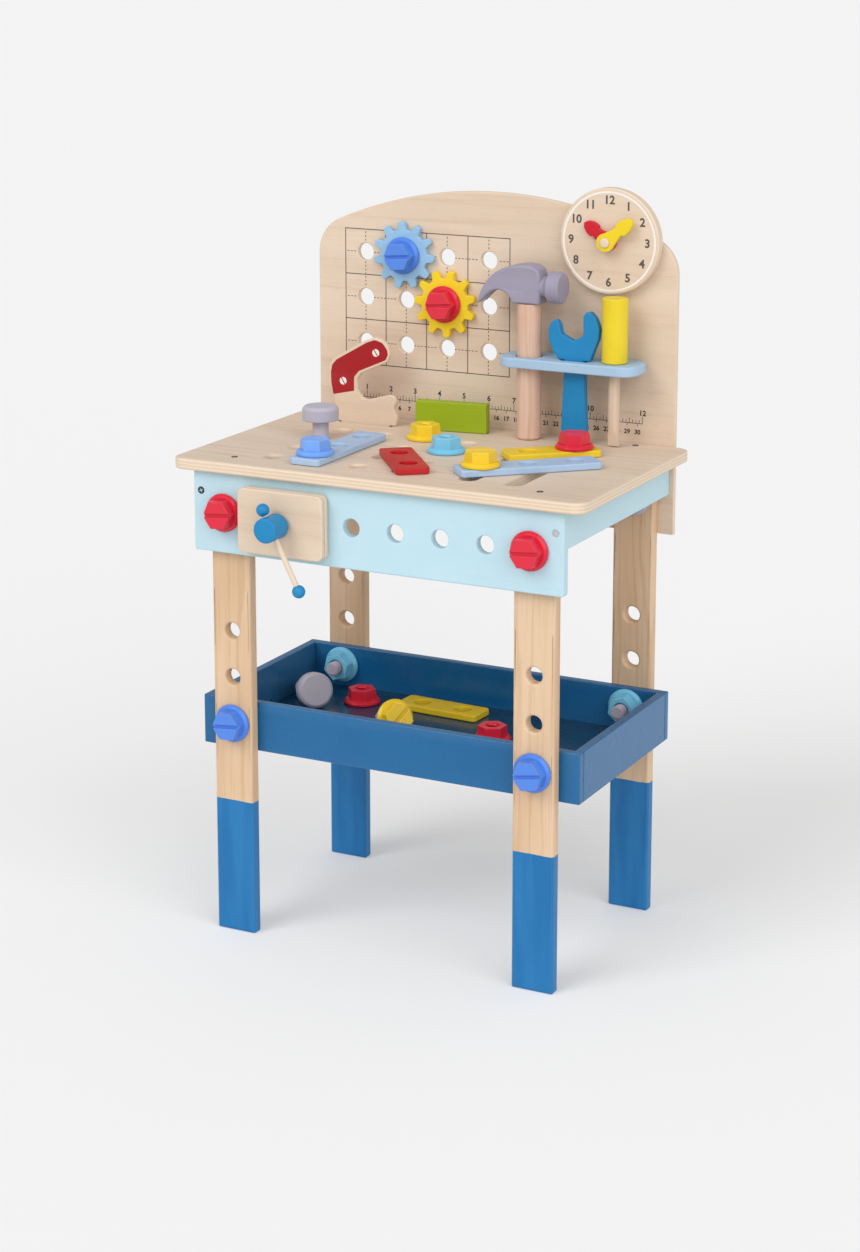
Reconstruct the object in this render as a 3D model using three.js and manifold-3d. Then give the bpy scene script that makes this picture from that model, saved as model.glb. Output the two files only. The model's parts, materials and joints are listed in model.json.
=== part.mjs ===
// Toy workbench: a small wooden play bench with a pegboard back, a tool rack, a vise, a clock,
// a pair of gears, a height-adjustable tray and a set of chunky wooden tools and fasteners.
//
// Units are millimetres. +X is to the right of a child standing at the bench, +Y points away from
// the child, towards the backboard, and +Z is up. Inside the bench group, y = 0 is the front face
// of the front legs and z = 0 is the floor. The last lines move the group so that the origin is
// the middle of the bench's outer box, on the floor.

import * as THREE from "three";
import { mergeVertices } from "three/addons/utils/BufferGeometryUtils.js";
import Module from "manifold-3d";

const wasm = await Module();
wasm.setup();

// ---------------------------------------------------------------- driving dimensions

const GAP = 0.3; // clearance left between pieces that touch
const PITCH = 42.3; // spacing of the fixing holes everywhere on the bench
const HOLE_R = 8; // every fixing hole
const HOLE_SIDES = 16;

const LEG_WIDTH = 38.6;
const LEG_THICK = 12;
const LEG_X = 147; // centre line of a leg
const BACK_LEG_Y = 210; // front face of the back legs
const FRAME_BACK_Y = BACK_LEG_Y + LEG_THICK;

const TOP_Z = 437; // working surface
const TOP_THICK = 10;
const TOP_HALF_X = 197;
const TOP_FRONT_Y = -16.5;
const TOP_BACK_Y = FRAME_BACK_Y;
const TOP_CORNER = 12;
const TOP_UNDER_Z = TOP_Z - TOP_THICK;
const FIRST_HOLE_X = -117.5;
const FIRST_HOLE_Y = 26;
const SLOT_X = [72.9, 115.2]; // two long slots on the right of the top
const SAW_SLOT = { x: -113, y: 190, length: 55, width: 8 };

const APRON_THICK = 9;
const APRON_HALF_X = 177.6;
const APRON_BOTTOM_Z = 354.5;
const SIDE_APRON_THICK = 9.8;
const SIDE_APRON_BOTTOM_Z = 393;
const BOLT_ROW_Z = 391; // bolts through the apron and the top of the legs

const TRAY_HALF_X = 184.5;
const TRAY_WALL = 8;
const TRAY_BOTTOM_Z = 169.5;
const TRAY_TOP_Z = 214.5;
const TRAY_FLOOR_Z = 176;
const TRAY_FLOOR_THICK = 3.5;
const TRAY_BOLT_Z = 196.5; // lowest of the three heights the legs are drilled for
const TRAY_FRONT_Y = LEG_THICK + GAP;
const TRAY_BACK_Y = BACK_LEG_Y - GAP;

const BOARD_THICK = 6;
const BOARD_HALF_X = 180.5;
const BOARD_BOTTOM_Z = 356;
const BOARD_CROWN_Z = 655; // top of the arch
const BOARD_ARCH_R = 400;
const BOARD_CORNER = 35;
const BOARD_FRONT_Y = FRAME_BACK_Y + GAP;
const BOARD_BACK_Y = BOARD_FRONT_Y + BOARD_THICK;
const GRID_X = -130.8; // first hole of the 4 by 3 grid on the board
const GRID_Z = 592.3;
const GRID_STEP = 42.4;

const FLANGE_R = 17.2; // wooden bolts and nuts
const FLANGE_THICK = 4.5;
const HEX_R = 14.5;
const HEX_HEIGHT = 9.5;
const HEAD_HEIGHT = FLANGE_THICK + HEX_HEIGHT;
const SHAFT_R = 7.3;
const NUT_HOLE_R = 6.2;
const SCREW_SLOT = { width: 3, depth: 2.5 };
const ROUND_HEAD = { radius: 16.5, height: 13.5, chamfer: 2.5 };

const STRIP_WIDTH = 29.6;
const STRIP_THICK = 6;
const STRIP_Z = TOP_Z + GAP;
const ON_STRIP_Z = STRIP_Z + STRIP_THICK + GAP;

const GEAR_TEETH = 11;
const GEAR_THICK = 6;
const GEAR_TIP_R = 31.4;
const GEAR_ROOT_R = 24.8;

const CLOCK = { x: 119, z: 618.5, radius: 47.5, thick: 10, rim: 1.5 };
const HAND_THICK = 4.8;
const HUB_R = 8.3;

const RACK = { x: 90.5, width: 133, depth: 44.3, thick: 9, topZ: 513, corner: 15 };
const HAMMER = { x: 49.3, y: 197, headZ: 561, thick: 22 };
const WRENCH = { x: 96.2, y: 193.5, thick: 8 };
const SCREWDRIVER = { x: 132.4, y: 197, radius: 11.5, height: 58 };
const SAW = { x: -116, y: 190, thick: 5 };

const VISE = { x: -84.4, z: 389.5, width: 83.5, height: 57.4, thick: 6, corner: 6 };
const KNOB = { radius: 11, length: 23 };
const VISE_SCREW_R = 5;
const BAR = { radius: 2.4, length: 76, ballRadius: 5.8, lean: 27 };
const VISE_FRONT_Y = -APRON_THICK - 2 * GAP - 2 * (VISE.thick + GAP);
const KNOB_BACK_Y = VISE_FRONT_Y - 2;
const KNOB_FRONT_Y = KNOB_BACK_Y - KNOB.length;
const REAR_Y = BOARD_BACK_Y + GAP + HEAD_HEIGHT; // back of the fasteners behind the board

// ---------------------------------------------------------------- materials

function paint(colour, roughness = 0.5) {
  return new THREE.MeshStandardMaterial({ color: colour, roughness, metalness: 0 });
}

const birch = paint(0xe4d0b6, 0.6);
const pine = paint(0xdebea0, 0.65);
const paleBlue = paint(0xb8dcec);
const trayBlue = paint(0x2a6a9c);
const stripBlue = paint(0xaac8e6);
const gearBlue = paint(0xa2c8e8);
const boltBlue = paint(0x5a8ceb, 0.4);
const nutBlue = paint(0x6cbee2, 0.4);
const toolBlue = paint(0x3e92c8, 0.45);
const red = paint(0xd82a40, 0.4);
const sawRed = paint(0xaf1e2d, 0.45);
const yellow = paint(0xf2ce2c, 0.4);
const amber = paint(0xfac22d, 0.4);
const grey = paint(0x968fa0, 0.45);
const green = paint(0x98b22a, 0.5);

// ---------------------------------------------------------------- solids

// A closed three.js geometry as a solid that can be joined and cut.
function toSolid(geometry) {
  const bare = geometry.clone();
  bare.deleteAttribute("normal");
  bare.deleteAttribute("uv");
  const merged = mergeVertices(bare, 1e-4);
  return new wasm.Manifold(
    new wasm.Mesh({
      numProp: 3,
      vertProperties: new Float32Array(merged.attributes.position.array),
      triVerts: new Uint32Array(merged.index.array),
    }),
  );
}

function toGeometry(solid) {
  const mesh = solid.getMesh();
  const geometry = new THREE.BufferGeometry();
  geometry.setAttribute("position", new THREE.BufferAttribute(mesh.vertProperties, 3));
  geometry.setIndex(new THREE.BufferAttribute(mesh.triVerts, 1));
  geometry.computeVertexNormals();
  return geometry;
}

function join(...geometries) {
  return toGeometry(geometries.map(toSolid).reduce((a, b) => a.add(b)));
}

function cut(geometry, ...tools) {
  return toGeometry(tools.map(toSolid).reduce((a, b) => a.subtract(b), toSolid(geometry)));
}

// A box given by its lowest and highest corners.
function block(low, high) {
  const size = high.map((v, i) => v - low[i]);
  const middle = high.map((v, i) => (v + low[i]) / 2);
  return new THREE.BoxGeometry(...size).translate(...middle);
}

// A cylinder on the Z axis from z0 to z1. Six sides make a hexagon with corners at +-X.
function post(radius, z0, z1, sides = 16, topRadius = radius) {
  const geometry = new THREE.CylinderGeometry(topRadius, radius, z1 - z0, sides);
  return geometry.rotateX(Math.PI / 2).rotateZ(Math.PI / 2).translate(0, 0, (z0 + z1) / 2);
}

// A profile of [radius, z] pairs turned about the Z axis, from axis to axis.
function turned(profile, sides = 20) {
  const points = profile.map(([r, z]) => new THREE.Vector2(r, z));
  return new THREE.LatheGeometry(points, sides).rotateX(Math.PI / 2);
}

// ---------------------------------------------------------------- outlines

function polygon(points) {
  return new THREE.Shape(points.map(([x, y]) => new THREE.Vector2(x, y)));
}

// A closed outline through points, smoothed as a spline.
function smoothOutline(points, steps) {
  const corners = points.map(([x, y]) => new THREE.Vector3(x, y, 0));
  const curve = new THREE.CatmullRomCurve3(corners, true, "centripetal");
  return new THREE.Shape(curve.getPoints(steps).slice(0, -1).map((p) => new THREE.Vector2(p.x, p.y)));
}

// A rectangle with round corners.
function roundedRect(x0, y0, x1, y1, r) {
  const shape = new THREE.Shape();
  shape.moveTo(x0 + r, y0);
  shape.lineTo(x1 - r, y0);
  shape.absarc(x1 - r, y0 + r, r, -Math.PI / 2, 0);
  shape.lineTo(x1, y1 - r);
  shape.absarc(x1 - r, y1 - r, r, 0, Math.PI / 2);
  shape.lineTo(x0 + r, y1);
  shape.absarc(x0 + r, y1 - r, r, Math.PI / 2, Math.PI);
  shape.lineTo(x0, y0 + r);
  shape.absarc(x0 + r, y0 + r, r, Math.PI, 1.5 * Math.PI);
  return shape;
}

function circlePoints(x, y, r, sides = HOLE_SIDES) {
  return Array.from({ length: sides }, (_, i) => {
    const angle = (2 * Math.PI * i) / sides;
    return new THREE.Vector2(x + r * Math.cos(angle), y + r * Math.sin(angle));
  });
}

function circleHole(x, y, r = HOLE_R, sides = HOLE_SIDES) {
  return new THREE.Path(circlePoints(x, y, r, sides));
}

// A slot of the given width between two end centres on the same x.
function uprightSlot(x, y0, y1, width, sides = 8) {
  const r = width / 2;
  const points = [];
  for (let i = 0; i <= sides; i++) {
    const angle = (Math.PI * i) / sides;
    points.push(new THREE.Vector2(x + r * Math.cos(angle), y1 + r * Math.sin(angle)));
  }
  for (let i = 0; i <= sides; i++) {
    const angle = Math.PI + (Math.PI * i) / sides;
    points.push(new THREE.Vector2(x + r * Math.cos(angle), y0 + r * Math.sin(angle)));
  }
  return new THREE.Path(points);
}

function rectHole(x0, y0, x1, y1) {
  return new THREE.Path([
    new THREE.Vector2(x0, y0),
    new THREE.Vector2(x1, y0),
    new THREE.Vector2(x1, y1),
    new THREE.Vector2(x0, y1),
  ]);
}

// An outline in the ground plane, as a plate from z upwards.
function flatPlate(shape, thick, z = 0, curveSegments = 6) {
  const options = { depth: thick, bevelEnabled: false, curveSegments };
  return new THREE.ExtrudeGeometry(shape, options).translate(0, 0, z);
}

// An outline drawn in x and z, as an upright plate whose front face is at y.
function uprightPlate(shape, thick, y = 0, curveSegments = 6) {
  return flatPlate(shape, thick, 0, curveSegments).rotateX(Math.PI / 2).translate(0, y + thick, 0);
}

const bench = new THREE.Group();

function piece(name, geometry, material, parent = bench) {
  const mesh = new THREE.Mesh(geometry, material);
  mesh.name = name;
  parent.add(mesh);
  return mesh;
}

// ---------------------------------------------------------------- frame

// The tabletop: a 4 by 4 grid of holes on the left, two long slots on the right and a narrow
// slot at the back that the saw's blade stands in.
function tabletop() {
  const shape = roundedRect(-TOP_HALF_X, TOP_FRONT_Y, TOP_HALF_X, TOP_BACK_Y, TOP_CORNER);
  for (let column = 0; column < 4; column++) {
    for (let row = 0; row < 4; row++) {
      shape.holes.push(circleHole(FIRST_HOLE_X + column * PITCH, FIRST_HOLE_Y + row * PITCH));
    }
  }
  for (const x of SLOT_X) {
    shape.holes.push(uprightSlot(x, FIRST_HOLE_Y, FIRST_HOLE_Y + 3 * PITCH, 2 * HOLE_R));
  }
  const { x, y, length, width } = SAW_SLOT;
  shape.holes.push(rectHole(x - length / 2, y - width / 2, x + length / 2, y + width / 2));
  piece("tabletop", flatPlate(shape, TOP_THICK, TOP_UNDER_Z), birch);
}

// The backboard: an arched panel with the grid of holes and two bolt holes near its foot.
function backboard() {
  const shape = new THREE.Shape();
  const arcCentreZ = BOARD_CROWN_Z - BOARD_ARCH_R;
  const cornerX = BOARD_HALF_X - BOARD_CORNER;
  const reach = BOARD_ARCH_R - BOARD_CORNER;
  const cornerZ = arcCentreZ + Math.sqrt(reach * reach - cornerX * cornerX);
  const tilt = Math.atan2(cornerZ - arcCentreZ, cornerX);
  shape.moveTo(-BOARD_HALF_X, BOARD_BOTTOM_Z);
  shape.lineTo(BOARD_HALF_X, BOARD_BOTTOM_Z);
  shape.lineTo(BOARD_HALF_X, cornerZ);
  shape.absarc(cornerX, cornerZ, BOARD_CORNER, 0, tilt);
  shape.absarc(0, arcCentreZ, BOARD_ARCH_R, tilt, Math.PI - tilt);
  shape.absarc(-cornerX, cornerZ, BOARD_CORNER, Math.PI - tilt, Math.PI);
  for (let column = 0; column < 4; column++) {
    for (let row = 0; row < 3; row++) {
      shape.holes.push(circleHole(GRID_X + column * GRID_STEP, GRID_Z - row * GRID_STEP));
    }
  }
  shape.holes.push(circleHole(-LEG_X, BOLT_ROW_Z));
  shape.holes.push(circleHole(LEG_X, BOLT_ROW_Z));
  piece("backboard", uprightPlate(shape, BOARD_THICK, BOARD_FRONT_Y, 10), birch);
}

// The front apron: a row of holes that the leg bolts, the vise and loose bolts use.
function frontApron() {
  const top = TOP_UNDER_Z - GAP;
  const shape = roundedRect(-APRON_HALF_X, APRON_BOTTOM_Z, APRON_HALF_X, top, 1.5);
  shape.holes.push(circleHole(-LEG_X, BOLT_ROW_Z));
  shape.holes.push(circleHole(VISE.x, VISE.z, VISE_SCREW_R + 0.8));
  for (let i = 0; i < 4; i++) {
    shape.holes.push(circleHole((i - 0.5) * PITCH, BOLT_ROW_Z));
  }
  shape.holes.push(circleHole(LEG_X, BOLT_ROW_Z));
  piece("front_apron", uprightPlate(shape, APRON_THICK, -GAP - APRON_THICK, 2), paleBlue);
}

function sideAprons() {
  const inner = LEG_X + LEG_WIDTH / 2 + GAP;
  const outer = inner + SIDE_APRON_THICK;
  const low = [inner, 0, SIDE_APRON_BOTTOM_Z];
  const high = [outer, FRAME_BACK_Y, TOP_UNDER_Z - GAP];
  piece("right_apron", block(low, high), paleBlue);
  const mirrored = block([-outer, low[1], low[2]], [-inner, high[1], high[2]]);
  piece("left_apron", mirrored, paleBlue);
}

// A leg is a flat slat with three holes for the tray's height and one for the bolt at its top.
function leg(name, x, y) {
  const half = LEG_WIDTH / 2;
  const shape = roundedRect(x - half, 0, x + half, TOP_UNDER_Z - GAP, 1.5);
  for (let i = 0; i < 3; i++) {
    shape.holes.push(circleHole(x, TRAY_BOLT_Z + i * PITCH));
  }
  shape.holes.push(circleHole(x, BOLT_ROW_Z));
  piece(name, uprightPlate(shape, LEG_THICK, y, 2), pine);
}

// ---------------------------------------------------------------- tray

// A drilled long wall of the tray.
function trayWall(name, y) {
  const shape = polygon([
    [-TRAY_HALF_X, TRAY_BOTTOM_Z],
    [TRAY_HALF_X, TRAY_BOTTOM_Z],
    [TRAY_HALF_X, TRAY_TOP_Z],
    [-TRAY_HALF_X, TRAY_TOP_Z],
  ]);
  shape.holes.push(circleHole(-LEG_X, TRAY_BOLT_Z));
  shape.holes.push(circleHole(LEG_X, TRAY_BOLT_Z));
  piece(name, uprightPlate(shape, TRAY_WALL, y), trayBlue);
}

function tray() {
  const y0 = TRAY_FRONT_Y + TRAY_WALL + GAP;
  const y1 = TRAY_BACK_Y - TRAY_WALL - GAP;
  const x1 = TRAY_HALF_X - TRAY_WALL;
  trayWall("tray_front", TRAY_FRONT_Y);
  trayWall("tray_back", TRAY_BACK_Y - TRAY_WALL);
  const right = block([x1, y0, TRAY_BOTTOM_Z], [TRAY_HALF_X, y1, TRAY_TOP_Z]);
  piece("tray_right", right, trayBlue);
  const left = block([-TRAY_HALF_X, y0, TRAY_BOTTOM_Z], [-x1, y1, TRAY_TOP_Z]);
  piece("tray_left", left, trayBlue);
  const floorX = x1 - GAP;
  const under = TRAY_FLOOR_Z - TRAY_FLOOR_THICK;
  piece("tray_floor", block([-floorX, y0, under], [floorX, y1, TRAY_FLOOR_Z]), trayBlue);
}

// ---------------------------------------------------------------- fasteners

// A bolt on the Z axis: the flange's seat is at z = 0, the head is above it and the shaft below.
function hexBolt(shaftLength) {
  const flange = turned([[0, 0], [FLANGE_R, 0], [FLANGE_R, 2.5], [HEX_R, FLANGE_THICK], [0, FLANGE_THICK]]);
  const hex = post(HEX_R, FLANGE_THICK - 1, HEAD_HEIGHT, 6);
  const shaft = post(SHAFT_R, -shaftLength, 1, 12);
  const slotBottom = HEAD_HEIGHT - SCREW_SLOT.depth;
  const half = SCREW_SLOT.width / 2;
  const slot = block([-FLANGE_R, -half, slotBottom], [FLANGE_R, half, HEAD_HEIGHT + 1]);
  return cut(join(flange, hex, shaft), slot);
}

function roundBolt(shaftLength) {
  const { radius, height, chamfer } = ROUND_HEAD;
  const head = turned([
    [0, 0],
    [radius, 0],
    [radius, height - chamfer],
    [radius - chamfer, height],
    [0, height],
  ]);
  return join(head, post(SHAFT_R, -shaftLength, 1, 12));
}

// A nut standing on its flange at z = 0.
function nutGeometry(holeRadius = NUT_HOLE_R) {
  const flange = turned([[0, 0], [FLANGE_R, 0], [FLANGE_R, 2], [HEX_R, FLANGE_THICK], [0, FLANGE_THICK]]);
  const hex = post(HEX_R, FLANGE_THICK - 1, HEAD_HEIGHT, 6, HEX_R - 1);
  return cut(join(flange, hex), post(holeRadius, -1, HEAD_HEIGHT + 1, 12));
}

// A bolt with its nut already run on: the nut's flange bears on the far side of a stack of
// boards that is grip thick.
function clampedBolt(bolt, grip) {
  const nut = nutGeometry().rotateX(Math.PI).translate(0, 0, -grip);
  return join(bolt, nut);
}

// Turns a fastener so that its head points at the child (-Y) or away from the child (+Y).
const HEAD_TO_FRONT = Math.PI / 2;
const HEAD_TO_BACK = -Math.PI / 2;

function placeBolt(name, geometry, material, x, y, z, turn, roll = 0) {
  const mesh = piece(name, geometry, material);
  mesh.position.set(x, y, z);
  mesh.rotation.set(turn, 0, roll, "XYZ");
  return mesh;
}

// The four bolts that carry the tray: the front pair has its nuts inside the tray, out of the
// child's sight, and the back pair is put in from behind, with separate nuts inside the tray.
function trayBolts() {
  const frontGrip = LEG_THICK + TRAY_WALL + 3 * GAP;
  const front = clampedBolt(hexBolt(frontGrip + HEAD_HEIGHT + 3), frontGrip);
  placeBolt("tray_bolt_front_left", front, boltBlue, -LEG_X, -GAP, TRAY_BOLT_Z, HEAD_TO_FRONT, 0.1);
  placeBolt("tray_bolt_front_right", front, boltBlue, LEG_X, -GAP, TRAY_BOLT_Z, HEAD_TO_FRONT, 0.1);
  const backNutY = TRAY_BACK_Y - TRAY_WALL - GAP;
  const headSeat = FRAME_BACK_Y + GAP;
  const back = roundBolt(headSeat - backNutY + HEAD_HEIGHT + 8);
  const nut = nutGeometry(SHAFT_R + 0.3);
  for (const [side, x] of [["left", -LEG_X], ["right", LEG_X]]) {
    placeBolt("tray_bolt_back_" + side, back, grey, x, headSeat, TRAY_BOLT_Z, HEAD_TO_BACK);
    placeBolt("tray_nut_back_" + side, nut, nutBlue, x, backNutY, TRAY_BOLT_Z, HEAD_TO_FRONT, 0.3);
  }
}

// Two bolts clamp the apron to the front legs and two clamp the backboard to the back legs.
function frameBolts() {
  const apronFront = -APRON_THICK - 2 * GAP;
  const apronGrip = LEG_THICK + GAP - apronFront;
  const apronBolt = clampedBolt(hexBolt(apronGrip + HEAD_HEIGHT + 2), apronGrip);
  placeBolt("apron_bolt_left", apronBolt, red, -LEG_X, apronFront, BOLT_ROW_Z, HEAD_TO_FRONT, 0.05);
  placeBolt("apron_bolt_right", apronBolt, red, LEG_X, apronFront, BOLT_ROW_Z, HEAD_TO_FRONT, 0.05);
  const boardSeat = BOARD_BACK_Y + GAP;
  const boardGrip = boardSeat - BACK_LEG_Y + GAP;
  const boardBolt = clampedBolt(roundBolt(boardGrip + HEAD_HEIGHT + 2), boardGrip);
  placeBolt("board_bolt_left", boardBolt, grey, -LEG_X, boardSeat, BOLT_ROW_Z, HEAD_TO_BACK);
  placeBolt("board_bolt_right", boardBolt, grey, LEG_X, boardSeat, BOLT_ROW_Z, HEAD_TO_BACK);
}

// ---------------------------------------------------------------- gears

// One gear outline, centred on the origin, with the middle of a tooth at the angle phase.
function gearShape(phase) {
  const step = (2 * Math.PI) / GEAR_TEETH;
  const points = [];
  for (let i = 0; i < GEAR_TEETH; i++) {
    const middle = phase + i * step;
    for (const [part, radius] of [
      [-0.29, GEAR_ROOT_R],
      [-0.13, GEAR_TIP_R - 0.6],
      [0, GEAR_TIP_R],
      [0.13, GEAR_TIP_R - 0.6],
      [0.29, GEAR_ROOT_R],
    ]) {
      const angle = middle + part * step;
      points.push([radius * Math.cos(angle), radius * Math.sin(angle)]);
    }
  }
  const shape = polygon(points);
  shape.holes.push(circleHole(0, 0, SHAFT_R + 0.7));
  return shape;
}

// Two equal gears side by side on the diagonal of the grid, in mesh, each on its own bolt.
function gears() {
  const quarter = (2 * Math.PI) / GEAR_TEETH / 4;
  const gearY = BOARD_FRONT_Y - GAP - GEAR_THICK;
  const boltY = gearY - GAP;
  const grip = BOARD_BACK_Y + GAP - boltY;
  const bolt = clampedBolt(hexBolt(grip + HEAD_HEIGHT - 1), grip);
  const towards = -Math.PI / 4; // from the first gear's centre to the second's
  const pair = [
    ["gear_blue", "gear_bolt_blue", 1, 0, towards + quarter, gearBlue, boltBlue],
    ["gear_yellow", "gear_bolt_red", 2, 1, towards + Math.PI + quarter, yellow, red],
  ];
  for (const [gearName, boltName, column, row, phase, gearPaint, boltPaint] of pair) {
    const x = GRID_X + column * GRID_STEP;
    const z = GRID_Z - row * GRID_STEP;
    const gear = piece(gearName, uprightPlate(gearShape(phase), GEAR_THICK), gearPaint);
    gear.position.set(x, gearY, z);
    placeBolt(boltName, bolt, boltPaint, x, boltY, z, HEAD_TO_FRONT, 0.05);
  }
}

// ---------------------------------------------------------------- clock

// A clock hand along +Z: a round hub, a waist and a leaf with a blunt tip.
function handShape(length) {
  const points = [];
  for (let i = 0; i <= 12; i++) {
    const angle = Math.PI * 0.82 + (Math.PI * 1.36 * i) / 12;
    points.push([HUB_R * Math.cos(angle), HUB_R * Math.sin(angle)]);
  }
  const leaf = [
    [5, 0.4],
    [6.4, 0.62],
    [6.2, 0.8],
    [3.6, 0.95],
    [0, 1],
  ];
  for (const [half, part] of leaf) {
    points.push([half, part * length]);
  }
  for (const [half, part] of leaf.slice(0, -1).reverse()) {
    points.push([-half, part * length]);
  }
  const shape = polygon(points);
  shape.holes.push(circleHole(0, 0, 3.6, 16));
  return shape;
}

// A thick wooden disc that rises above the arch, with two stacked hands on a pin.
function clock() {
  const { x, z, radius, thick, rim } = CLOCK;
  const back = BOARD_FRONT_Y - GAP;
  const front = back - thick;
  const disc = turned(
    [
      [0, 0],
      [radius, 0],
      [radius, thick - rim],
      [radius - rim, thick],
      [0, thick],
    ],
    48,
  );
  const face = cut(disc, post(3.2, thick - 6, thick + 1, 16));
  const faceMesh = piece("clock_face", face, birch);
  faceMesh.position.set(x, back, z);
  faceMesh.rotation.x = HEAD_TO_FRONT;
  const hourY = front - GAP - HAND_THICK;
  const minuteY = hourY - GAP - HAND_THICK;
  const hour = piece("hour_hand", uprightPlate(handShape(27.5), HAND_THICK), red);
  hour.position.set(x, hourY, z);
  hour.rotation.y = THREE.MathUtils.degToRad(-53);
  const minute = piece("minute_hand", uprightPlate(handShape(33.5), HAND_THICK), yellow);
  minute.position.set(x, minuteY, z);
  minute.rotation.y = THREE.MathUtils.degToRad(50);
  const pinLength = front - minuteY + 5;
  const pin = join(post(2.9, 0, pinLength, 16), turned([[0, -1.8], [3.4, -1.4], [5, 0.1], [0, 0.1]], 16));
  const pinMesh = piece("clock_pin", pin, birch);
  pinMesh.position.set(x, minuteY - GAP - 0.1, z);
  pinMesh.rotation.x = -HEAD_TO_FRONT;
}

// ---------------------------------------------------------------- tool rack and tools

// A shelf on the board with a round hole, a slot and a small hole for the tools.
function toolRack() {
  const { x, width, depth, thick, topZ, corner } = RACK;
  const backY = BOARD_FRONT_Y - GAP;
  const shape = roundedRect(x - width / 2, backY - depth, x + width / 2, backY, corner);
  shape.holes.push(circleHole(HAMMER.x, HAMMER.y, 11.8));
  shape.holes.push(rectHole(WRENCH.x - 12.8, WRENCH.y - 4.8, WRENCH.x + 12.8, WRENCH.y + 4.8));
  shape.holes.push(circleHole(SCREWDRIVER.x, SCREWDRIVER.y, 6));
  piece("tool_rack", flatPlate(shape, thick, topZ - thick), paleBlue);
}

// The hammer: a turned handle with a tenon, and a wooden head with a split claw and a round face.
function hammer() {
  const { x, y, headZ, thick } = HAMMER;
  const handleTop = headZ - GAP;
  const handle = turned([
    [0, TOP_Z + GAP],
    [10, TOP_Z + GAP],
    [11, TOP_Z + GAP + 1.5],
    [11, handleTop],
    [6, handleTop],
    [6, headZ + 22],
    [0, headZ + 22],
  ]);
  const handleMesh = piece("hammer_handle", handle, pine);
  handleMesh.position.set(x, y, 0);
  const outline = polygon([
    [13, 0],
    [14, 5],
    [14, 26],
    [12, 32],
    [6, 34.3],
    [-1, 35],
    [-13, 34],
    [-24, 31.5],
    [-34, 27.5],
    [-42, 22],
    [-48, 14],
    [-51, 5],
    [-52, -3],
    [-46, 2.5],
    [-39, 7.5],
    [-32, 10.5],
    [-26, 10.5],
    [-21, 6.5],
    [-18, -1],
    [-12, 0],
  ]);
  const body = uprightPlate(outline, thick, -thick / 2);
  const poll = turned([
    [0, 0],
    [9.5, 0],
    [9.5, 8],
    [14.3, 12],
    [14.3, 21],
    [13, 23],
    [0, 23],
  ])
    .rotateY(Math.PI / 2)
    .translate(10, 0, 15.5);
  const clawSplit = polygon([
    [-60, -20],
    [-60, 30],
    [-46, 30],
    [-34, 4],
    [-40, -20],
  ]);
  const split = uprightPlate(clawSplit, 5, -2.5);
  const socket = post(6.5, -1, 22.6, 20);
  const head = cut(join(body, poll), split, socket);
  const headMesh = piece("hammer_head", head, grey);
  headMesh.position.set(x, y, headZ);
}

// The wrench hangs through the rack by its open-ended head.
function wrench() {
  const outline = polygon([
    [-15, 0],
    [-21, 8],
    [-25, 18],
    [-25, 27],
    [-22, 34],
    [-17, 36],
    [-14, 30],
    [-12.5, 23],
    [-1, 17.5],
    [9, 23],
    [8.5, 40],
    [11, 44],
    [15, 44.5],
    [20.5, 39],
    [24, 30],
    [23, 20],
    [18.5, 9],
    [15, 0],
    [9, 0],
    [10, -16],
    [12, -64],
    [11, -71],
    [7, -73],
    [-7, -73],
    [-11, -71],
    [-12, -64],
    [-10, -16],
    [-9, 0],
  ]);
  const mesh = piece("wrench", uprightPlate(outline, WRENCH.thick, -WRENCH.thick / 2), toolBlue);
  mesh.position.set(WRENCH.x, WRENCH.y, RACK.topZ + GAP);
}

// The screwdriver stands in its hole on its handle, with the blade just above the tabletop.
function screwdriver() {
  const { x, y, radius, height } = SCREWDRIVER;
  const bottom = RACK.topZ + GAP;
  const handle = cut(
    turned([
      [0, bottom],
      [radius, bottom],
      [radius, bottom + height - 1.5],
      [radius - 1.5, bottom + height],
      [0, bottom + height],
    ]),
    post(5.5, bottom - 1, bottom + 25, 16),
  );
  const handleMesh = piece("screwdriver_handle", handle, yellow);
  handleMesh.position.set(x, y, 0);
  const tipZ = TOP_Z + 1.5;
  const wedge = polygon([
    [-1, tipZ - 1],
    [-8, tipZ - 1],
    [-8, tipZ + 17],
    [-5.3, tipZ + 17],
  ]);
  const frontCut = flatPlate(wedge, 20, -10).rotateX(Math.PI / 2).rotateZ(Math.PI / 2);
  const backCut = frontCut.clone().rotateZ(Math.PI);
  const shaft = cut(post(5.2, tipZ, bottom + 24.5, 16), frontCut, backCut);
  const shaftMesh = piece("screwdriver_shaft", shaft, pine);
  shaftMesh.position.set(x, y, 0);
}

// The saw: a pistol grip on a wide blade whose wavy edge is to the right. The blade's narrower
// tongue passes down through a slot, and its shoulders rest on the tabletop.
function saw() {
  const teeth = [];
  for (let i = 0; i <= 6; i++) {
    teeth.push([26 + (i % 2 ? -2.2 : 0), -8 - i * 8.5]);
  }
  const outline = polygon([
    [-29, 0.3],
    [-30, 23],
    [-35, 37],
    [-36, 50],
    [-31, 59],
    [4, 79],
    [13, 82],
    [21, 80],
    [27, 74],
    [28.5, 67],
    [26, 60],
    [-2, 47],
    [-6, 41],
    [-5.5, 30],
    [-1, 24],
    [4, 22.5],
    [28, 29],
    [33, 27.5],
    [35, 23],
    [32, 16.5],
    [36, 8],
    [34, 0.3],
    [28, 0.3],
    ...teeth,
    [20, -68],
    [-18, -68],
    [-23, -60],
    [-23, 0.3],
  ]);
  const mesh = piece("saw", uprightPlate(outline, SAW.thick, -SAW.thick / 2), sawRed);
  mesh.position.set(SAW.x, SAW.y, TOP_Z);
}

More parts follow.
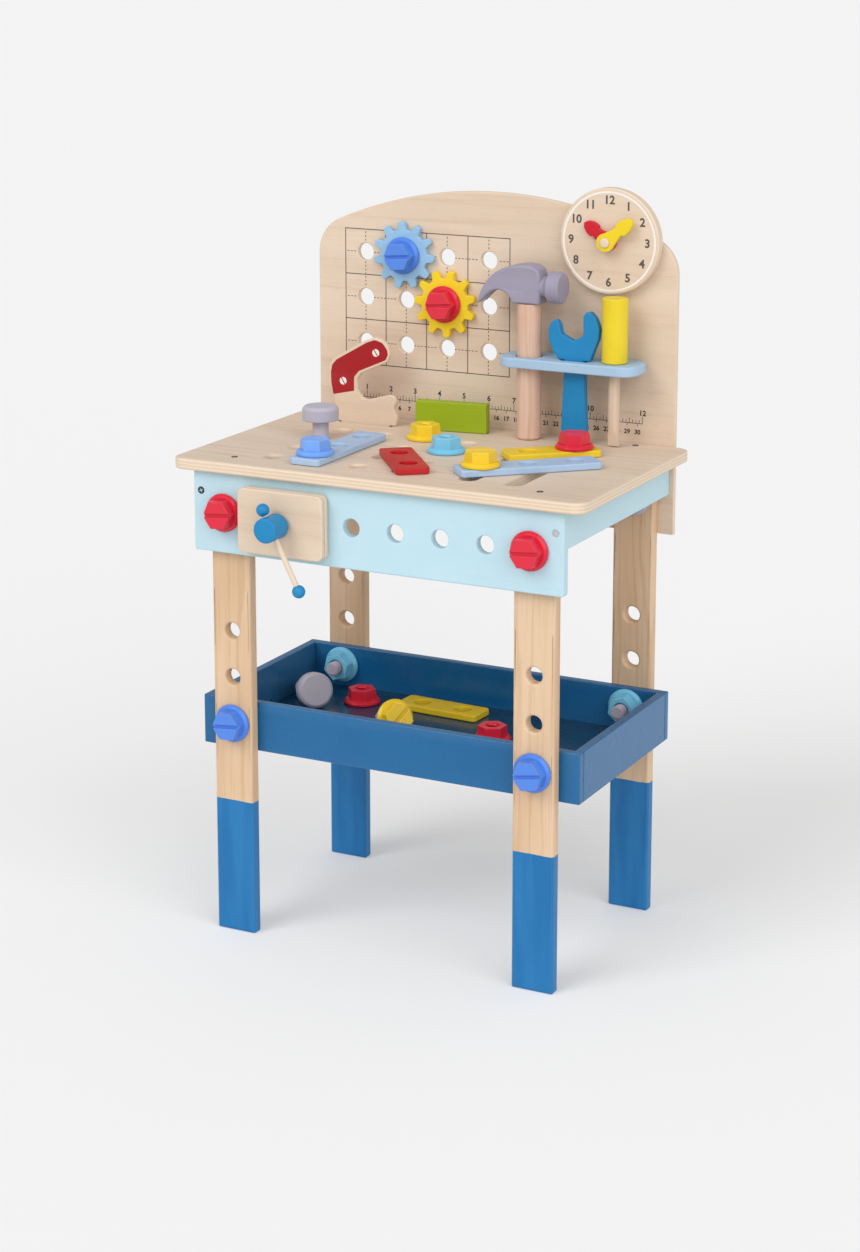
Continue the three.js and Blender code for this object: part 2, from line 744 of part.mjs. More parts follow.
function greenBlock() {
  const geometry = new THREE.BoxGeometry(68.5, 11, 27);
  const mesh = piece("green_block", geometry, green);
  mesh.position.set(-26.7, 195, TOP_Z + GAP + 13.5);
  mesh.rotation.z = THREE.MathUtils.degToRad(7.6);
}

// ---------------------------------------------------------------- vise

// A board of the vise, with the screw's hole in the middle.
function viseBoard(name, y) {
  const { x, z, width, height, thick, corner } = VISE;
  const shape = roundedRect(x - width / 2, z - height / 2, x + width / 2, z + height / 2, corner);
  shape.holes.push(circleHole(x, z, VISE_SCREW_R + 0.8));
  piece(name, uprightPlate(shape, thick, y, 4), birch);
}

// The jaw moves on a screw whose round knob carries a sliding bar with a ball on each end.
function vise() {
  viseBoard("vise_back_board", VISE_FRONT_Y + VISE.thick + GAP);
  viseBoard("vise_jaw", VISE_FRONT_Y);
  const barY = (KNOB_FRONT_Y + KNOB_BACK_Y) / 2;
  const lean = THREE.MathUtils.degToRad(BAR.lean);
  const screwEnd = KNOB_BACK_Y + 40;
  // built with +Z towards the bench, then laid along +Y
  const knob = turned([
    [0, KNOB_FRONT_Y],
    [KNOB.radius - 1.5, KNOB_FRONT_Y],
    [KNOB.radius, KNOB_FRONT_Y + 1.5],
    [KNOB.radius, KNOB_BACK_Y],
    [VISE_SCREW_R, KNOB_BACK_Y],
    [VISE_SCREW_R, screwEnd],
    [0, screwEnd],
  ]);
  const barHole = post(BAR.radius + 0.5, -20, 20, 12)
    .rotateX(-Math.PI / 2)
    .rotateZ(-lean)
    .translate(0, 0, barY);
  const screw = cut(knob, barHole);
  const screwMesh = piece("vise_screw", screw, toolBlue);
  screwMesh.position.set(VISE.x, 0, VISE.z);
  screwMesh.rotation.x = -Math.PI / 2;

  // the bar hangs at the end of its travel, with its upper ball against the knob
  const reach = BAR.length / 2;
  const rod = post(BAR.radius, -reach, reach, 12);
  const topBall = new THREE.SphereGeometry(BAR.ballRadius, 12, 8).translate(0, 0, reach);
  const bottomBall = new THREE.SphereGeometry(BAR.ballRadius, 12, 8).translate(0, 0, -reach);
  const bar = piece("vise_bar", join(rod, topBall, bottomBall), toolBlue);
  const drop = reach - KNOB.radius - BAR.ballRadius - GAP;
  bar.position.set(VISE.x + drop * Math.sin(lean), barY, VISE.z - drop * Math.cos(lean));
  bar.rotation.y = -lean;
}

// ---------------------------------------------------------------- loose pieces

// A drilled strip with holes one pitch apart, centred on the origin and lying along X.
function stripGeometry(holes) {
  const half = (holes * PITCH) / 2;
  const shape = roundedRect(-half, -STRIP_WIDTH / 2, half, STRIP_WIDTH / 2, 4);
  for (let i = 0; i < holes; i++) {
    shape.holes.push(circleHole((i - (holes - 1) / 2) * PITCH, 0));
  }
  return flatPlate(shape, STRIP_THICK, 0, 3);
}

function strip(name, holes, material, x, y, z, degrees) {
  const mesh = piece(name, stripGeometry(holes), material);
  mesh.position.set(x, y, z);
  mesh.rotation.z = THREE.MathUtils.degToRad(degrees);
  return mesh;
}

function uprightFastener(name, geometry, material, x, y, z, roll) {
  const mesh = piece(name, geometry, material);
  mesh.position.set(x, y, z);
  mesh.rotation.z = roll;
}

// What lies on the tabletop. A bolt on a strip passes through the strip and the top.
function loosePiecesOnTop() {
  strip("strip_blue_a", 3, stripBlue, FIRST_HOLE_X + PITCH, FIRST_HOLE_Y + PITCH, STRIP_Z, 90);
  const boltA = hexBolt(35);
  uprightFastener("bolt_blue", boltA, boltBlue, FIRST_HOLE_X + PITCH, FIRST_HOLE_Y, ON_STRIP_Z, 0.25);
  strip("strip_red", 2, red, -0.6, 49.4, STRIP_Z, -51.7);

  const angleB = THREE.MathUtils.degToRad(43.2);
  const boltB = [73.5, 48];
  const middleB = [boltB[0] + PITCH * Math.cos(angleB), boltB[1] + PITCH * Math.sin(angleB)];
  strip("strip_blue_b", 3, stripBlue, ...middleB, STRIP_Z, 43.2);
  uprightFastener("bolt_yellow", hexBolt(35), amber, ...boltB, ON_STRIP_Z, 0.45);

  const angleC = THREE.MathUtils.degToRad(41.4);
  const boltC = [SLOT_X[1], 150.4];
  const half = PITCH / 2;
  const middleC = [boltC[0] - half * Math.cos(angleC), boltC[1] - half * Math.sin(angleC)];
  strip("strip_yellow", 2, yellow, ...middleC, STRIP_Z, 41.4);
  uprightFastener("bolt_red", hexBolt(35), red, ...boltC, ON_STRIP_Z, 0.35);

  const nutColumns = [FIRST_HOLE_X + 2 * PITCH, FIRST_HOLE_X + 3 * PITCH];
  const nutRows = [FIRST_HOLE_Y + 3 * PITCH, FIRST_HOLE_Y + 2 * PITCH];
  uprightFastener("nut_yellow", nutGeometry(), amber, nutColumns[0], nutRows[0], STRIP_Z, 0.4);
  uprightFastener("nut_blue", nutGeometry(), nutBlue, nutColumns[1], nutRows[1], STRIP_Z, 0.15);

  const boltX = FIRST_HOLE_X;
  const boltY = FIRST_HOLE_Y + 2 * PITCH;
  uprightFastener("bolt_grey", roundBolt(39), grey, boltX, boltY, TOP_Z + 17.5, 0);
}

// A bolt lying on the tray floor, resting on the rim of its head and the end of its shaft. The
// shaft points along the compass angle given, measured from +X.
function lyingBolt(name, geometry, material, headRadius, shaftLength, x, y, degrees) {
  const droop = Math.asin((headRadius - SHAFT_R) / shaftLength);
  const holder = new THREE.Group();
  holder.position.set(x, y, TRAY_FLOOR_Z + headRadius * Math.cos(droop) + GAP);
  holder.rotation.z = THREE.MathUtils.degToRad(degrees);
  const mesh = piece(name, geometry, material, holder);
  mesh.rotation.y = -Math.PI / 2 + droop;
  bench.add(holder);
}

function loosePiecesInTray() {
  const floor = TRAY_FLOOR_Z + GAP;
  lyingBolt("tray_loose_bolt_grey", roundBolt(42), grey, ROUND_HEAD.radius, 42, -138.7, 129.3, 135);
  lyingBolt("tray_loose_bolt_yellow", hexBolt(35), amber, FLANGE_R, 35, -30.7, 87.3, 139);
  const nut = nutGeometry();
  uprightFastener("tray_loose_nut_red_a", nut, red, -103.8, 161, floor, 0.2);
  uprightFastener("tray_loose_nut_red_b", nut, red, 52.8, 117, floor, 0.5);
  strip("tray_loose_strip_yellow", 2, yellow, -23.5, 169.5, floor, -3);
}

// ---------------------------------------------------------------- assembly

tabletop();
backboard();
frontApron();
sideAprons();
leg("leg_front_left", -LEG_X, 0);
leg("leg_front_right", LEG_X, 0);
leg("leg_back_left", -LEG_X, BACK_LEG_Y);
leg("leg_back_right", LEG_X, BACK_LEG_Y);
tray();
trayBolts();
frameBolts();
gears();
clock();
toolRack();
hammer();
wrench();
screwdriver();
saw();
greenBlock();
vise();
loosePiecesOnTop();
loosePiecesInTray();

bench.position.y = -(REAR_Y + KNOB_FRONT_Y) / 2;

export default bench;
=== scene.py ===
import json
import math

import bmesh
import bpy
from mathutils import Matrix, Vector


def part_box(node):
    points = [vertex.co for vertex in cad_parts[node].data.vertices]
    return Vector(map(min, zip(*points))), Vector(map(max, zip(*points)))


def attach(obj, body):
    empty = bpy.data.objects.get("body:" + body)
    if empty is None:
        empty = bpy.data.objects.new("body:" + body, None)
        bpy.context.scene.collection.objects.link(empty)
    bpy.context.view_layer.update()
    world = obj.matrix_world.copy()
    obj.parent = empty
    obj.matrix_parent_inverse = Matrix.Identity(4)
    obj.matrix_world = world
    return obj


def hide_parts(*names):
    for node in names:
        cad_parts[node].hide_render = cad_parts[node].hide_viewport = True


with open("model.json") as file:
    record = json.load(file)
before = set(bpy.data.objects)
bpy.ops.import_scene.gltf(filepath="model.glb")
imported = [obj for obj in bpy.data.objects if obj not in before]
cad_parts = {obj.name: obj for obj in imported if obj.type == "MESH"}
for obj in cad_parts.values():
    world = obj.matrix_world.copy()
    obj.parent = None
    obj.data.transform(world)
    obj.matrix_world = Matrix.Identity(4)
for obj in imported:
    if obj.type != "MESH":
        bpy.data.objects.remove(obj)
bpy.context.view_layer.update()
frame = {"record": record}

# ------------------------------------------------------------------ frame of the bench

MM = 0.001
BENCH_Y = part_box("leg_front_left")[0].y  # y = 0 of the bench is its front legs' front face
BODY_OF = {n: b for b, ns in frame["record"]["behaviour"]["bodies"].items() for n in ns}
SLOT_OF = {s["node"]: s["material_slot"] for s in frame["record"]["subparts"]}


def corners(node):
    """Lowest and highest corner of a CAD node, in bench millimetres."""
    return [Vector((v.x, v.y - BENCH_Y, v.z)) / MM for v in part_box(node)]


def low(node):
    return corners(node)[0]


def high(node):
    return corners(node)[1]


def middle(node):
    return (low(node) + high(node)) / 2


PITCH = 42.3  # from hole to hole in the tabletop, the legs and the strips
HOLE_R = 8.0
LEG_X = middle("leg_front_right").x
BOLT_Z = 391.0  # height of the bolts through the legs' tops
TRAY_Z = 196.5  # height of the bolts that carry the tray
TOP_Z = high("tabletop").z
TOP_HOLE_X, TOP_HOLE_Y = -117.5, 26.0  # first hole of the tabletop
GRID_STEP = 42.4  # from hole to hole in the backboard
GRID_X, GRID_Z = -130.8, 592.3  # its upper left hole
GAP = 0.3  # between a piece and what it rests on

# ------------------------------------------------------------------ shader helpers

FRONT_LIGHT = 1.13  # brightness of a white surface that faces the front
GLOSS_LIFT = 0.014  # what the soft reflection of the studio adds to a colour


def srgb(r, g, b):
    """A display colour, 0 to 255, as the linear colour a shader takes."""
    out = []
    for c in (r, g, b):
        c /= 255
        out.append(c / 12.92 if c <= 0.04045 else ((c + 0.055) / 1.055) ** 2.4)
    return (*out, 1.0)


def lit(r, g, b):
    """The base colour of a surface that should look (r, g, b) when it faces the front."""
    return (*(max(0.0015, (c - GLOSS_LIFT) / FRONT_LIGHT) for c in srgb(r, g, b)[:3]), 1.0)


class Shader:
    """A small builder for node materials."""

    def __init__(self, name, roughness=0.5, coat=0.0, coat_roughness=0.2):
        self.material = bpy.data.materials.new(name)
        self.material.use_nodes = True
        self.tree = self.material.node_tree
        self.tree.nodes.clear()
        out = self.node("ShaderNodeOutputMaterial")
        self.bsdf = self.node("ShaderNodeBsdfPrincipled", {"Roughness": roughness, "Specular IOR Level": 0.3})
        if coat:
            self.bsdf.inputs["Coat Weight"].default_value = coat
            self.bsdf.inputs["Coat Roughness"].default_value = coat_roughness
        self.feed(out.inputs[0], self.bsdf.outputs[0])
        self.coord = self.node("ShaderNodeTexCoord")

    def feed(self, socket, value):
        if isinstance(value, bpy.types.NodeSocket):
            self.tree.links.new(value, socket)
        else:
            socket.default_value = value

    def node(self, kind, sockets=None, **values):
        made = self.tree.nodes.new(kind)
        for key, value in values.items():
            setattr(made, key, value)
        for key, value in (sockets or {}).items():
            self.feed(made.inputs[key], value)
        return made

    def scaled(self, scale, offset=(0, 0, 0)):
        """Object coordinates, moved and scaled for a texture."""
        sockets = {"Vector": self.coord.outputs["Object"], "Location": offset, "Scale": scale}
        return self.node("ShaderNodeMapping", sockets).outputs[0]

    def noise(self, vector, scale, detail=3.0, rough=0.55, distortion=0.0):
        sockets = {"Vector": vector, "Scale": scale, "Detail": detail, "Roughness": rough, "Distortion": distortion}
        return self.node("ShaderNodeTexNoise", sockets).outputs["Fac"]

    def math(self, operation, a, b=0.0):
        return self.node("ShaderNodeMath", {0: a, 1: b}, operation=operation).outputs[0]

    def plus(self, a, b):
        return self.math("ADD", a, b)

    def times(self, a, b):
        return self.math("MULTIPLY", a, b)

    def ramp(self, value, low_at, high_at, low_to=0.0, high_to=1.0):
        sockets = {"Value": value, "From Min": low_at, "From Max": high_at, "To Min": low_to, "To Max": high_to}
        return self.node("ShaderNodeMapRange", sockets, clamp=True, interpolation_type="SMOOTHSTEP").outputs["Result"]

    def mix(self, factor, a, b):
        return self.node("ShaderNodeMix", {0: factor, 6: a, 7: b}, data_type="RGBA").outputs[2]

    def axis_of(self, socket, axis):
        return self.node("ShaderNodeSeparateXYZ", {0: socket}).outputs["XYZ".index(axis)]

    def pointiness(self):
        return self.node("ShaderNodeNewGeometry").outputs["Pointiness"]

    def bump(self, height, distance, strength):
        sockets = {"Strength": strength, "Distance": distance, "Height": height}
        return self.node("ShaderNodeBump", sockets).outputs[0]

    def finish(self, colour, rough=None, normal=None):
        for name, value in (("Base Color", colour), ("Roughness", rough), ("Normal", normal)):
            if value is not None:
                self.feed(self.bsdf.inputs[name], value)
        return self.material


def along(axis, fine, coarse):
    """Scale that stretches a texture along one axis of the wood."""
    return tuple(coarse if a == axis else fine for a in "XYZ")


def birch(name, grain="X", ply=None, ply_step=1.55, seed=0.0, warm=1.0, cool=0):
    """Birch plywood: a pale face with soft streaks and short flecks. ply is the axis across the
    layers, which show as stripes on the cut edges."""
    s = Shader(name, 0.5, coat=0.12, coat_roughness=0.35)
    offset = (seed, seed * 1.7, seed * 0.6)
    broad = s.noise(s.scaled(along(grain, 1, 0.16), offset), 22, 3, 0.5, 0.6)
    streak = s.noise(s.scaled(along(grain, 1, 0.035), offset), 190, 4, 0.6, 0.25)
    fleck = s.noise(s.scaled(along(grain, 1, 0.1), offset), 900, 2, 0.6)
    tones = (237, 216, 194), (229, 206, 182), (209, 181, 153)
    light, mid, dark = (lit(r, g + cool * 0.4, b + cool) for r, g, b in tones)
    face = s.mix(s.ramp(broad, 0.3, 0.7), mid, light)
    face = s.mix(s.times(s.ramp(streak, 0.48, 0.78), 0.5 * warm), face, dark)
    face = s.mix(s.times(s.ramp(fleck, 0.6, 0.8), 0.32), face, lit(193, 158, 125))
    height = s.plus(s.times(streak, 0.6), s.times(fleck, 0.4))
    if ply is not None:
        along_ply = s.axis_of(s.coord.outputs["Object"], ply)
        wobble = s.times(s.noise(s.scaled((1, 1, 1), offset), 30, 2), 0.0006)
        place = s.math("DIVIDE", s.plus(along_ply, wobble), ply_step * MM)
        layer = s.math("FRACT", place)
        every_other = s.math("FRACT", s.times(s.math("FLOOR", place), 0.5))
        end_grain = s.noise(s.scaled((1, 1, 1), offset), 1400, 2, 0.7)
        edge = s.mix(s.ramp(every_other, 0.2, 0.3), lit(243, 225, 202), lit(234, 209, 182))
        edge = s.mix(s.times(s.ramp(end_grain, 0.45, 0.75), 0.25), edge, lit(200, 162, 128))
        glue = s.times(s.ramp(s.math("ABSOLUTE", s.math("SUBTRACT", layer, 0.5)), 0.4, 0.5), 0.18)
        edge = s.mix(glue, edge, lit(186, 146, 112))
        facing = s.math("ABSOLUTE", s.axis_of(s.coord.outputs["Normal"], ply))
        face = s.mix(s.ramp(facing, 0.55, 0.85), edge, face)
    rough = s.ramp(streak, 0.3, 0.7, 0.46, 0.6)
    return s.finish(face, rough, s.bump(height, 0.00025, 0.35))


def pine(name, grain="Z", across="X", seed=0.0, rings=70.0, dip_below=None, lacquer=0.0, blush=0):
    """Planed pine: wavering darker growth lines along the grain and fine fibres. dip_below adds the
    blue paint that the foot of a leg is dipped in, up to that height."""
    s = Shader(name, 0.55, coat=lacquer)
    offset = (seed * 3.1, seed * 1.3, seed * 2.2)
    drift = s.noise(s.scaled(along(grain, 1, 0.14), offset), 16, 3, 0.5, 0.4)
    coord = s.axis_of(s.scaled((1, 1, 1), offset), across)
    phase = s.plus(s.times(coord, rings), s.times(drift, 5.0))
    wave = s.math("SINE", s.times(phase, 2 * math.pi))
    ring = s.ramp(wave, 0.25, 1.0)
    weak = s.noise(s.scaled(along(grain, 1, 0.02), offset), 60, 2)
    ring = s.times(ring, s.ramp(weak, 0.35, 0.65, 0.15, 1.0))
    fibre = s.noise(s.scaled(along(grain, 1, 0.018), offset), 620, 3, 0.65)
    broad = s.noise(s.scaled(along(grain, 1, 0.25), offset), 24, 2)
    pale, tan = lit(233, 203 - blush, 170 + blush), lit(224, 189 - blush, 153 + blush)
    base = s.mix(s.ramp(broad, 0.35, 0.65), pale, tan)
    wood = s.mix(s.times(ring, 0.33), base, lit(196, 148, 108))
    wood = s.mix(s.times(s.ramp(fibre, 0.5, 0.75), 0.28), wood, lit(184, 140, 102))
    rough = s.ramp(fibre, 0.3, 0.7, 0.48, 0.62)
    height = s.plus(s.times(ring, -0.4), s.times(fibre, 0.6))
    if dip_below is None:
        return s.finish(wood, rough, s.bump(height, 0.0003, 0.35))
    z = s.axis_of(s.coord.outputs["Object"], "Z")
    wobble = s.times(s.math("SUBTRACT", s.noise(s.scaled((1, 1, 1), offset), 70, 2), 0.5), 0.0016)
    top = (dip_below + 0.1) * MM
    dipped = s.ramp(s.plus(z, wobble), top - 0.0002, top + 0.0002, 1.0, 0.0)
    tone = s.noise(s.scaled(along("Z", 1, 0.1), offset), 60, 3)
    blue = s.mix(s.ramp(tone, 0.35, 0.65), lit(42, 118, 178), lit(50, 128, 188))
    blue = s.mix(s.times(s.ramp(fibre, 0.55, 0.8), 0.18), blue, lit(32, 96, 152))
    edge = s.ramp(s.pointiness(), 0.53, 0.62, 0, 0.25)
    blue = s.mix(edge, blue, lit(120, 170, 210))
    colour = s.mix(dipped, wood, blue)
    rough = s.mix(dipped, s.mix(rough, (0, 0, 0, 1), (1, 1, 1, 1)), (0.36, 0.36, 0.36, 1))
    height = s.plus(height, s.times(dipped, 0.5))
    return s.finish(colour, rough, s.bump(height, 0.0003, 0.4))


def paint(name, rgb, shade, grain="X", rough=0.42, grain_depth=0.25, wear=0.22, coat=0.0):
    """Paint on wood: slight tone drift, the grain just telling through, edges rubbed a little paler."""
    s = Shader(name, rough, coat, 0.18)
    base, dark = lit(*rgb), lit(*shade)
    pale = lit(*(c + (255 - c) * 0.4 for c in rgb))
    cloud = s.noise(s.scaled((1, 1, 1)), 26, 3)
    fibre = s.noise(s.scaled(along(grain, 1, 0.04)), 420, 3, 0.6)
    fine = s.noise(s.scaled((1, 1, 1)), 1500, 2, 0.6)
    colour = s.mix(s.times(s.ramp(cloud, 0.3, 0.75), 0.35), base, dark)
    colour = s.mix(s.times(s.ramp(fibre, 0.5, 0.8), grain_depth), colour, dark)
    worn = s.times(s.ramp(s.pointiness(), 0.52, 0.6), s.ramp(cloud, 0.35, 0.6, wear * 0.5, wear))
    colour = s.mix(worn, colour, pale)
    height = s.plus(s.times(fibre, 0.6), s.times(fine, 0.4))
    roughness = s.ramp(cloud, 0.3, 0.7, rough - 0.04, rough + 0.06)
    return s.finish(colour, roughness, s.bump(height, 0.0002, 0.3))


def steel(name, light=226, dark=186):
    s = Shader(name, 0.35)
    s.bsdf.inputs["Metallic"].default_value = 0.7
    scratch = s.noise(s.scaled((1, 0.2, 1)), 2600, 3)
    colour = s.mix(s.ramp(scratch, 0.3, 0.7), lit(dark, dark, dark * 1.04), lit(light, light, light * 1.03))
    return s.finish(colour, s.ramp(scratch, 0.3, 0.7, 0.28, 0.45), s.bump(scratch, 0.00005, 0.3))


def ink(name, rgb, strength=0.25):
    """Print on wood: nearly even, slightly broken up by the wood below."""
    s = Shader(name, 0.6)
    speck = s.noise(s.scaled((1, 1, 1)), 2200, 2, 0.7)
    colour = s.mix(s.times(s.ramp(speck, 0.5, 0.75), strength), lit(*rgb), lit(200, 178, 155))
    return s.finish(colour, s.ramp(speck, 0.3, 0.7, 0.55, 0.7))


# ------------------------------------------------------------------ mesh helpers, in millimetres


def fillet(points, radius, steps=5, closed=True):
    """Rounds the corners of a polyline. radius is one number, or one per point."""
    n = len(points)
    radii = radius if isinstance(radius, (list, tuple)) else [radius] * n
    out = []
    for i, p in enumerate(points):
        p = Vector(p[:2])
        if not closed and i in (0, n - 1) or radii[i] <= 0:
            out.append(p)
            continue
        a, b = Vector(points[i - 1][:2]) - p, Vector(points[(i + 1) % n][:2]) - p
        la, lb = a.length, b.length
        if la < 1e-6 or lb < 1e-6:
            continue
        a, b = a / la, b / lb
        half = math.acos(max(-1.0, min(1.0, a.dot(b)))) / 2
        if half > math.pi / 2 - 0.03 or half < 0.02:
            out.append(p)
            continue
        reach = min(radii[i] / math.tan(half), la * 0.49, lb * 0.49)
        r = reach * math.tan(half)
        centre = p + (a + b).normalized() * (r / math.sin(half))
        start, end = p + a * reach - centre, p + b * reach - centre
        sweep = math.atan2(start.x * end.y - start.y * end.x, start.dot(end))
        for k in range(steps + 1):
            t = sweep * k / steps
            c, sn = math.cos(t), math.sin(t)
            out.append(centre + Vector((start.x * c - start.y * sn, start.x * sn + start.y * c)))
    return out


def arc(x, y, r, start, sweep, steps):
    angles = [start + sweep * k / steps for k in range(steps + 1)]
    return [(x + r * math.cos(angle), y + r * math.sin(angle)) for angle in angles]


def circle(x, y, r, sides=48):
    return arc(x, y, r, 0, 2 * math.pi, sides)[:-1]


def rectangle(x0, y0, x1, y1, r=0.0, steps=8):
    corners = [(x0, y0), (x1, y0), (x1, y1), (x0, y1)]
    return fillet(corners, r, steps) if r else corners


def slot_outline(x, y0, y1, width):
    return rectangle(x - width / 2, y0 - width / 2, x + width / 2, y1 + width / 2, width / 2 - 0.01, 12)


def linked(name, data):
    """A new object in the scene."""
    obj = bpy.data.objects.new(name, data)
    bpy.context.scene.collection.objects.link(obj)
    return obj


def baked(obj):
    """The mesh of an object with its modifiers applied. The object itself goes."""
    graph = bpy.context.evaluated_depsgraph_get()
    mesh = bpy.data.meshes.new_from_object(obj.evaluated_get(graph))
    bpy.data.objects.remove(obj)
    return mesh


def finished(work):
    """The mesh of a bmesh, with its faces turned outwards."""
    bmesh.ops.recalc_face_normals(work, faces=work.faces)
    mesh = bpy.data.meshes.new("shape")
    work.to_mesh(mesh)
    work.free()
    return mesh


def plate(loops, thick, bevel, segments=3):
    """A flat plate of the given thickness with rounded rims, centred on z = 0."""
    curve = bpy.data.curves.new("outline", "CURVE")
    curve.dimensions = "2D"
    curve.fill_mode = "BOTH"
    curve.extrude = thick / 2 - bevel
    curve.bevel_depth = bevel
    curve.bevel_resolution = segments - 1
    curve.offset = -bevel
    for loop in loops:
        spline = curve.splines.new("POLY")
        spline.points.add(len(loop) - 1)
        for point, place in zip(spline.points, loop):
            point.co = (place[0], place[1], 0, 1)
        spline.use_cyclic_u = True
    work = bmesh.new()
    work.from_mesh(baked(linked("outline", curve)))
    bmesh.ops.remove_doubles(work, verts=work.verts, dist=1e-4)
    return finished(work)


def flat(loops, z0, z1, bevel, segments=3):
    """A plate lying flat, from z0 to z1."""
    return moved(plate(loops, z1 - z0, bevel, segments), at(0, 0, (z0 + z1) / 2))


def upright(loops, y0, y1, bevel, segments=3):
    """A plate drawn in x and z that stands between y0 and y1."""
    return moved(plate(loops, y1 - y0, bevel, segments), at(0, (y0 + y1) / 2, 0) @ turn(90, "X"))


def side_plate(loops, x0, x1, bevel):
    """A plate drawn in y and z that stands between x0 and x1."""
    swap = Matrix(((0, 0, 1, 0), (1, 0, 0, 0), (0, 1, 0, 0), (0, 0, 0, 1)))
    return moved(plate(loops, x1 - x0, bevel), at((x0 + x1) / 2, 0, 0) @ swap)


def skin(rings, caps=False, closed=False):
    """A surface over rings of points. A ring of one point closes it in a fan, caps adds a face over
    the first and the last ring, and closed joins the last ring to the first."""
    work = bmesh.new()
    grid = [[work.verts.new(point) for point in ring] for ring in rings]
    sides = max(map(len, rings))
    for a, b in zip(grid, grid[1:] + (grid[:1] if closed else [])):
        for k in range(sides):
            j = (k + 1) % sides
            if len(a) == 1:
                work.faces.new((a[0], b[k], b[j]))
            elif len(b) == 1:
                work.faces.new((a[k], a[j], b[0]))
            else:
                work.faces.new((a[k], a[j], b[j], b[k]))
    if caps:
        work.faces.new(list(reversed(grid[0])))
        work.faces.new(grid[-1])
    return finished(work)


def ring(r, z, sides):
    return [(x, y, z) for x, y in circle(0, 0, r, sides)]


def lathe(profile, sides=64):
    """A profile of (radius, z) turned about the z axis. It starts and ends on the axis."""
    return skin([ring(r, z, sides) if r > 1e-6 else [(0, 0, z)] for r, z in profile])


def cylinder(radius, z0, z1, sides):
    return lathe([(0, z0), (radius, z0), (radius, z1), (0, z1)], sides)


def turned(points, radius, sides=64, steps=4):
    """A lathe shape whose profile has rounded corners."""
    return lathe([tuple(p) for p in fillet(points, radius, steps, closed=False)], sides)


def thread_ridge(z, k, pitch, sides):
    """How far a thread stands out, 0 to 1, at height z and at the k-th side."""
    return 0.5 + 0.5 * math.cos(2 * math.pi * ((z / pitch - k / sides) % 1.0))


def threaded(radius, z0, z1, pitch=2.8, depth=1.25, sides=44, per_turn=10, taper=0.9):
    """A round rod with a rounded right-hand thread, from z0 up to z1, chamfered at z0."""
    rows = int((z1 - z0) / pitch * per_turn)
    rings = []
    for i in range(rows + 1):
        z = z0 + (z1 - z0) * i / rows
        ease = 0.86 + 0.14 * min(1.0, (z - z0) / taper)
        rings.append([])
        for k, (x, y, _) in enumerate(ring(1, z, sides)):
            ridge = min(1.0, max(0.0, 1.35 * thread_ridge(z, k, pitch, sides) - 0.1))
            r = (radius - depth * (1 - ridge)) * ease
            rings[-1].append((r * x, r * y, z))
    return skin(rings, caps=True)


def inner_thread(radius, z0=0.9, z1=13.3, pitch=3.6, depth=0.7, sides=36, per_turn=8):
    """The ridges inside a nut: a closed ring whose inner face is a thread."""
    rows = int((z1 - z0) / pitch * per_turn)
    inner, outer = [], []
    for i in range(rows + 1):
        z = z0 + (z1 - z0) * i / rows
        outer.append(ring(radius + 0.25, z, sides))
        inner.append([])
        for k, (x, y, _) in enumerate(ring(1, z, sides)):
            r = radius - depth * thread_ridge(z, k, pitch, sides)
            inner[-1].append((r * x, r * y, z))
    return skin(inner + outer[::-1], closed=True)


def prism(loop, z0, z1, top_scale=1.0):
    """A straight or tapered prism on a loop of points."""
    top = [(x * top_scale, y * top_scale, z1) for x, y in loop]
    return skin([[(x, y, z0) for x, y in loop], top], caps=True)


def block(lo, hi):
    return prism(rectangle(lo[0], lo[1], hi[0], hi[1]), lo[2], hi[2])


def at(x, y, z):
    return Matrix.Translation((x, y, z))


def turn(degrees, axis):
    return Matrix.Rotation(math.radians(degrees), 4, axis)


def moved(mesh, matrix):
    mesh.transform(matrix)
    return mesh


def joined(*meshes):
    work = bmesh.new()
    for mesh in meshes:
        work.from_mesh(mesh)
    out = bpy.data.meshes.new("joined")
    work.to_mesh(out)
    work.free()
    return out


def cut(mesh, *tools):
    """The mesh less the tools."""
    holder = linked("work", mesh)
    others = [linked("tool", tool) for tool in tools]
    for other in others:
        modifier = holder.modifiers.new("cut", "BOOLEAN")
        modifier.operation = "DIFFERENCE"
        modifier.object = other
        modifier.solver = "EXACT"
    out = baked(holder)
    for other in others:
        bpy.data.objects.remove(other)
    return out


def soften(mesh, width, segments=3, angle=28):
    """Rounds every edge sharper than the angle."""
    holder = linked("work", mesh)
    modifier = holder.modifiers.new("round", "BEVEL")
    modifier.width = width
    modifier.segments = segments
    modifier.limit_method = "ANGLE"
    modifier.angle_limit = math.radians(angle)
    modifier.use_clamp_overlap = True
    modifier.miter_outer = "MITER_ARC"
    return baked(holder)


def piece(name, mesh, material, body, matrix=None, replaces=(), slot=None):
    """Adds a mesh given in millimetres as a piece of the bench that rides on a body."""
    mesh = mesh.copy()
    mesh.name = name
    mesh.transform(Matrix.Scale(MM, 4))
    mesh.shade_smooth()
    mesh.set_sharp_from_angle(angle=math.radians(32))
    mesh.materials.clear()
    mesh.materials.append(material)
    obj = linked(name, mesh)
    place = Matrix.Identity(4) if matrix is None else matrix.copy()
    place.translation = place.translation * MM + Vector((0, BENCH_Y, 0))
    obj.matrix_world = place
    obj.modifiers.new("even_shading", "WEIGHTED_NORMAL").keep_sharp = True
    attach(obj, body)
    if replaces:
        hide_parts(*replaces)
        slot = slot or SLOT_OF[replaces[0]]


def stand_in(node, mesh, material, matrix=None):
    """A finished piece in place of one CAD node."""
    piece(node + "_finished", mesh, material, BODY_OF[node], matrix, (node,))


# ------------------------------------------------------------------ materials

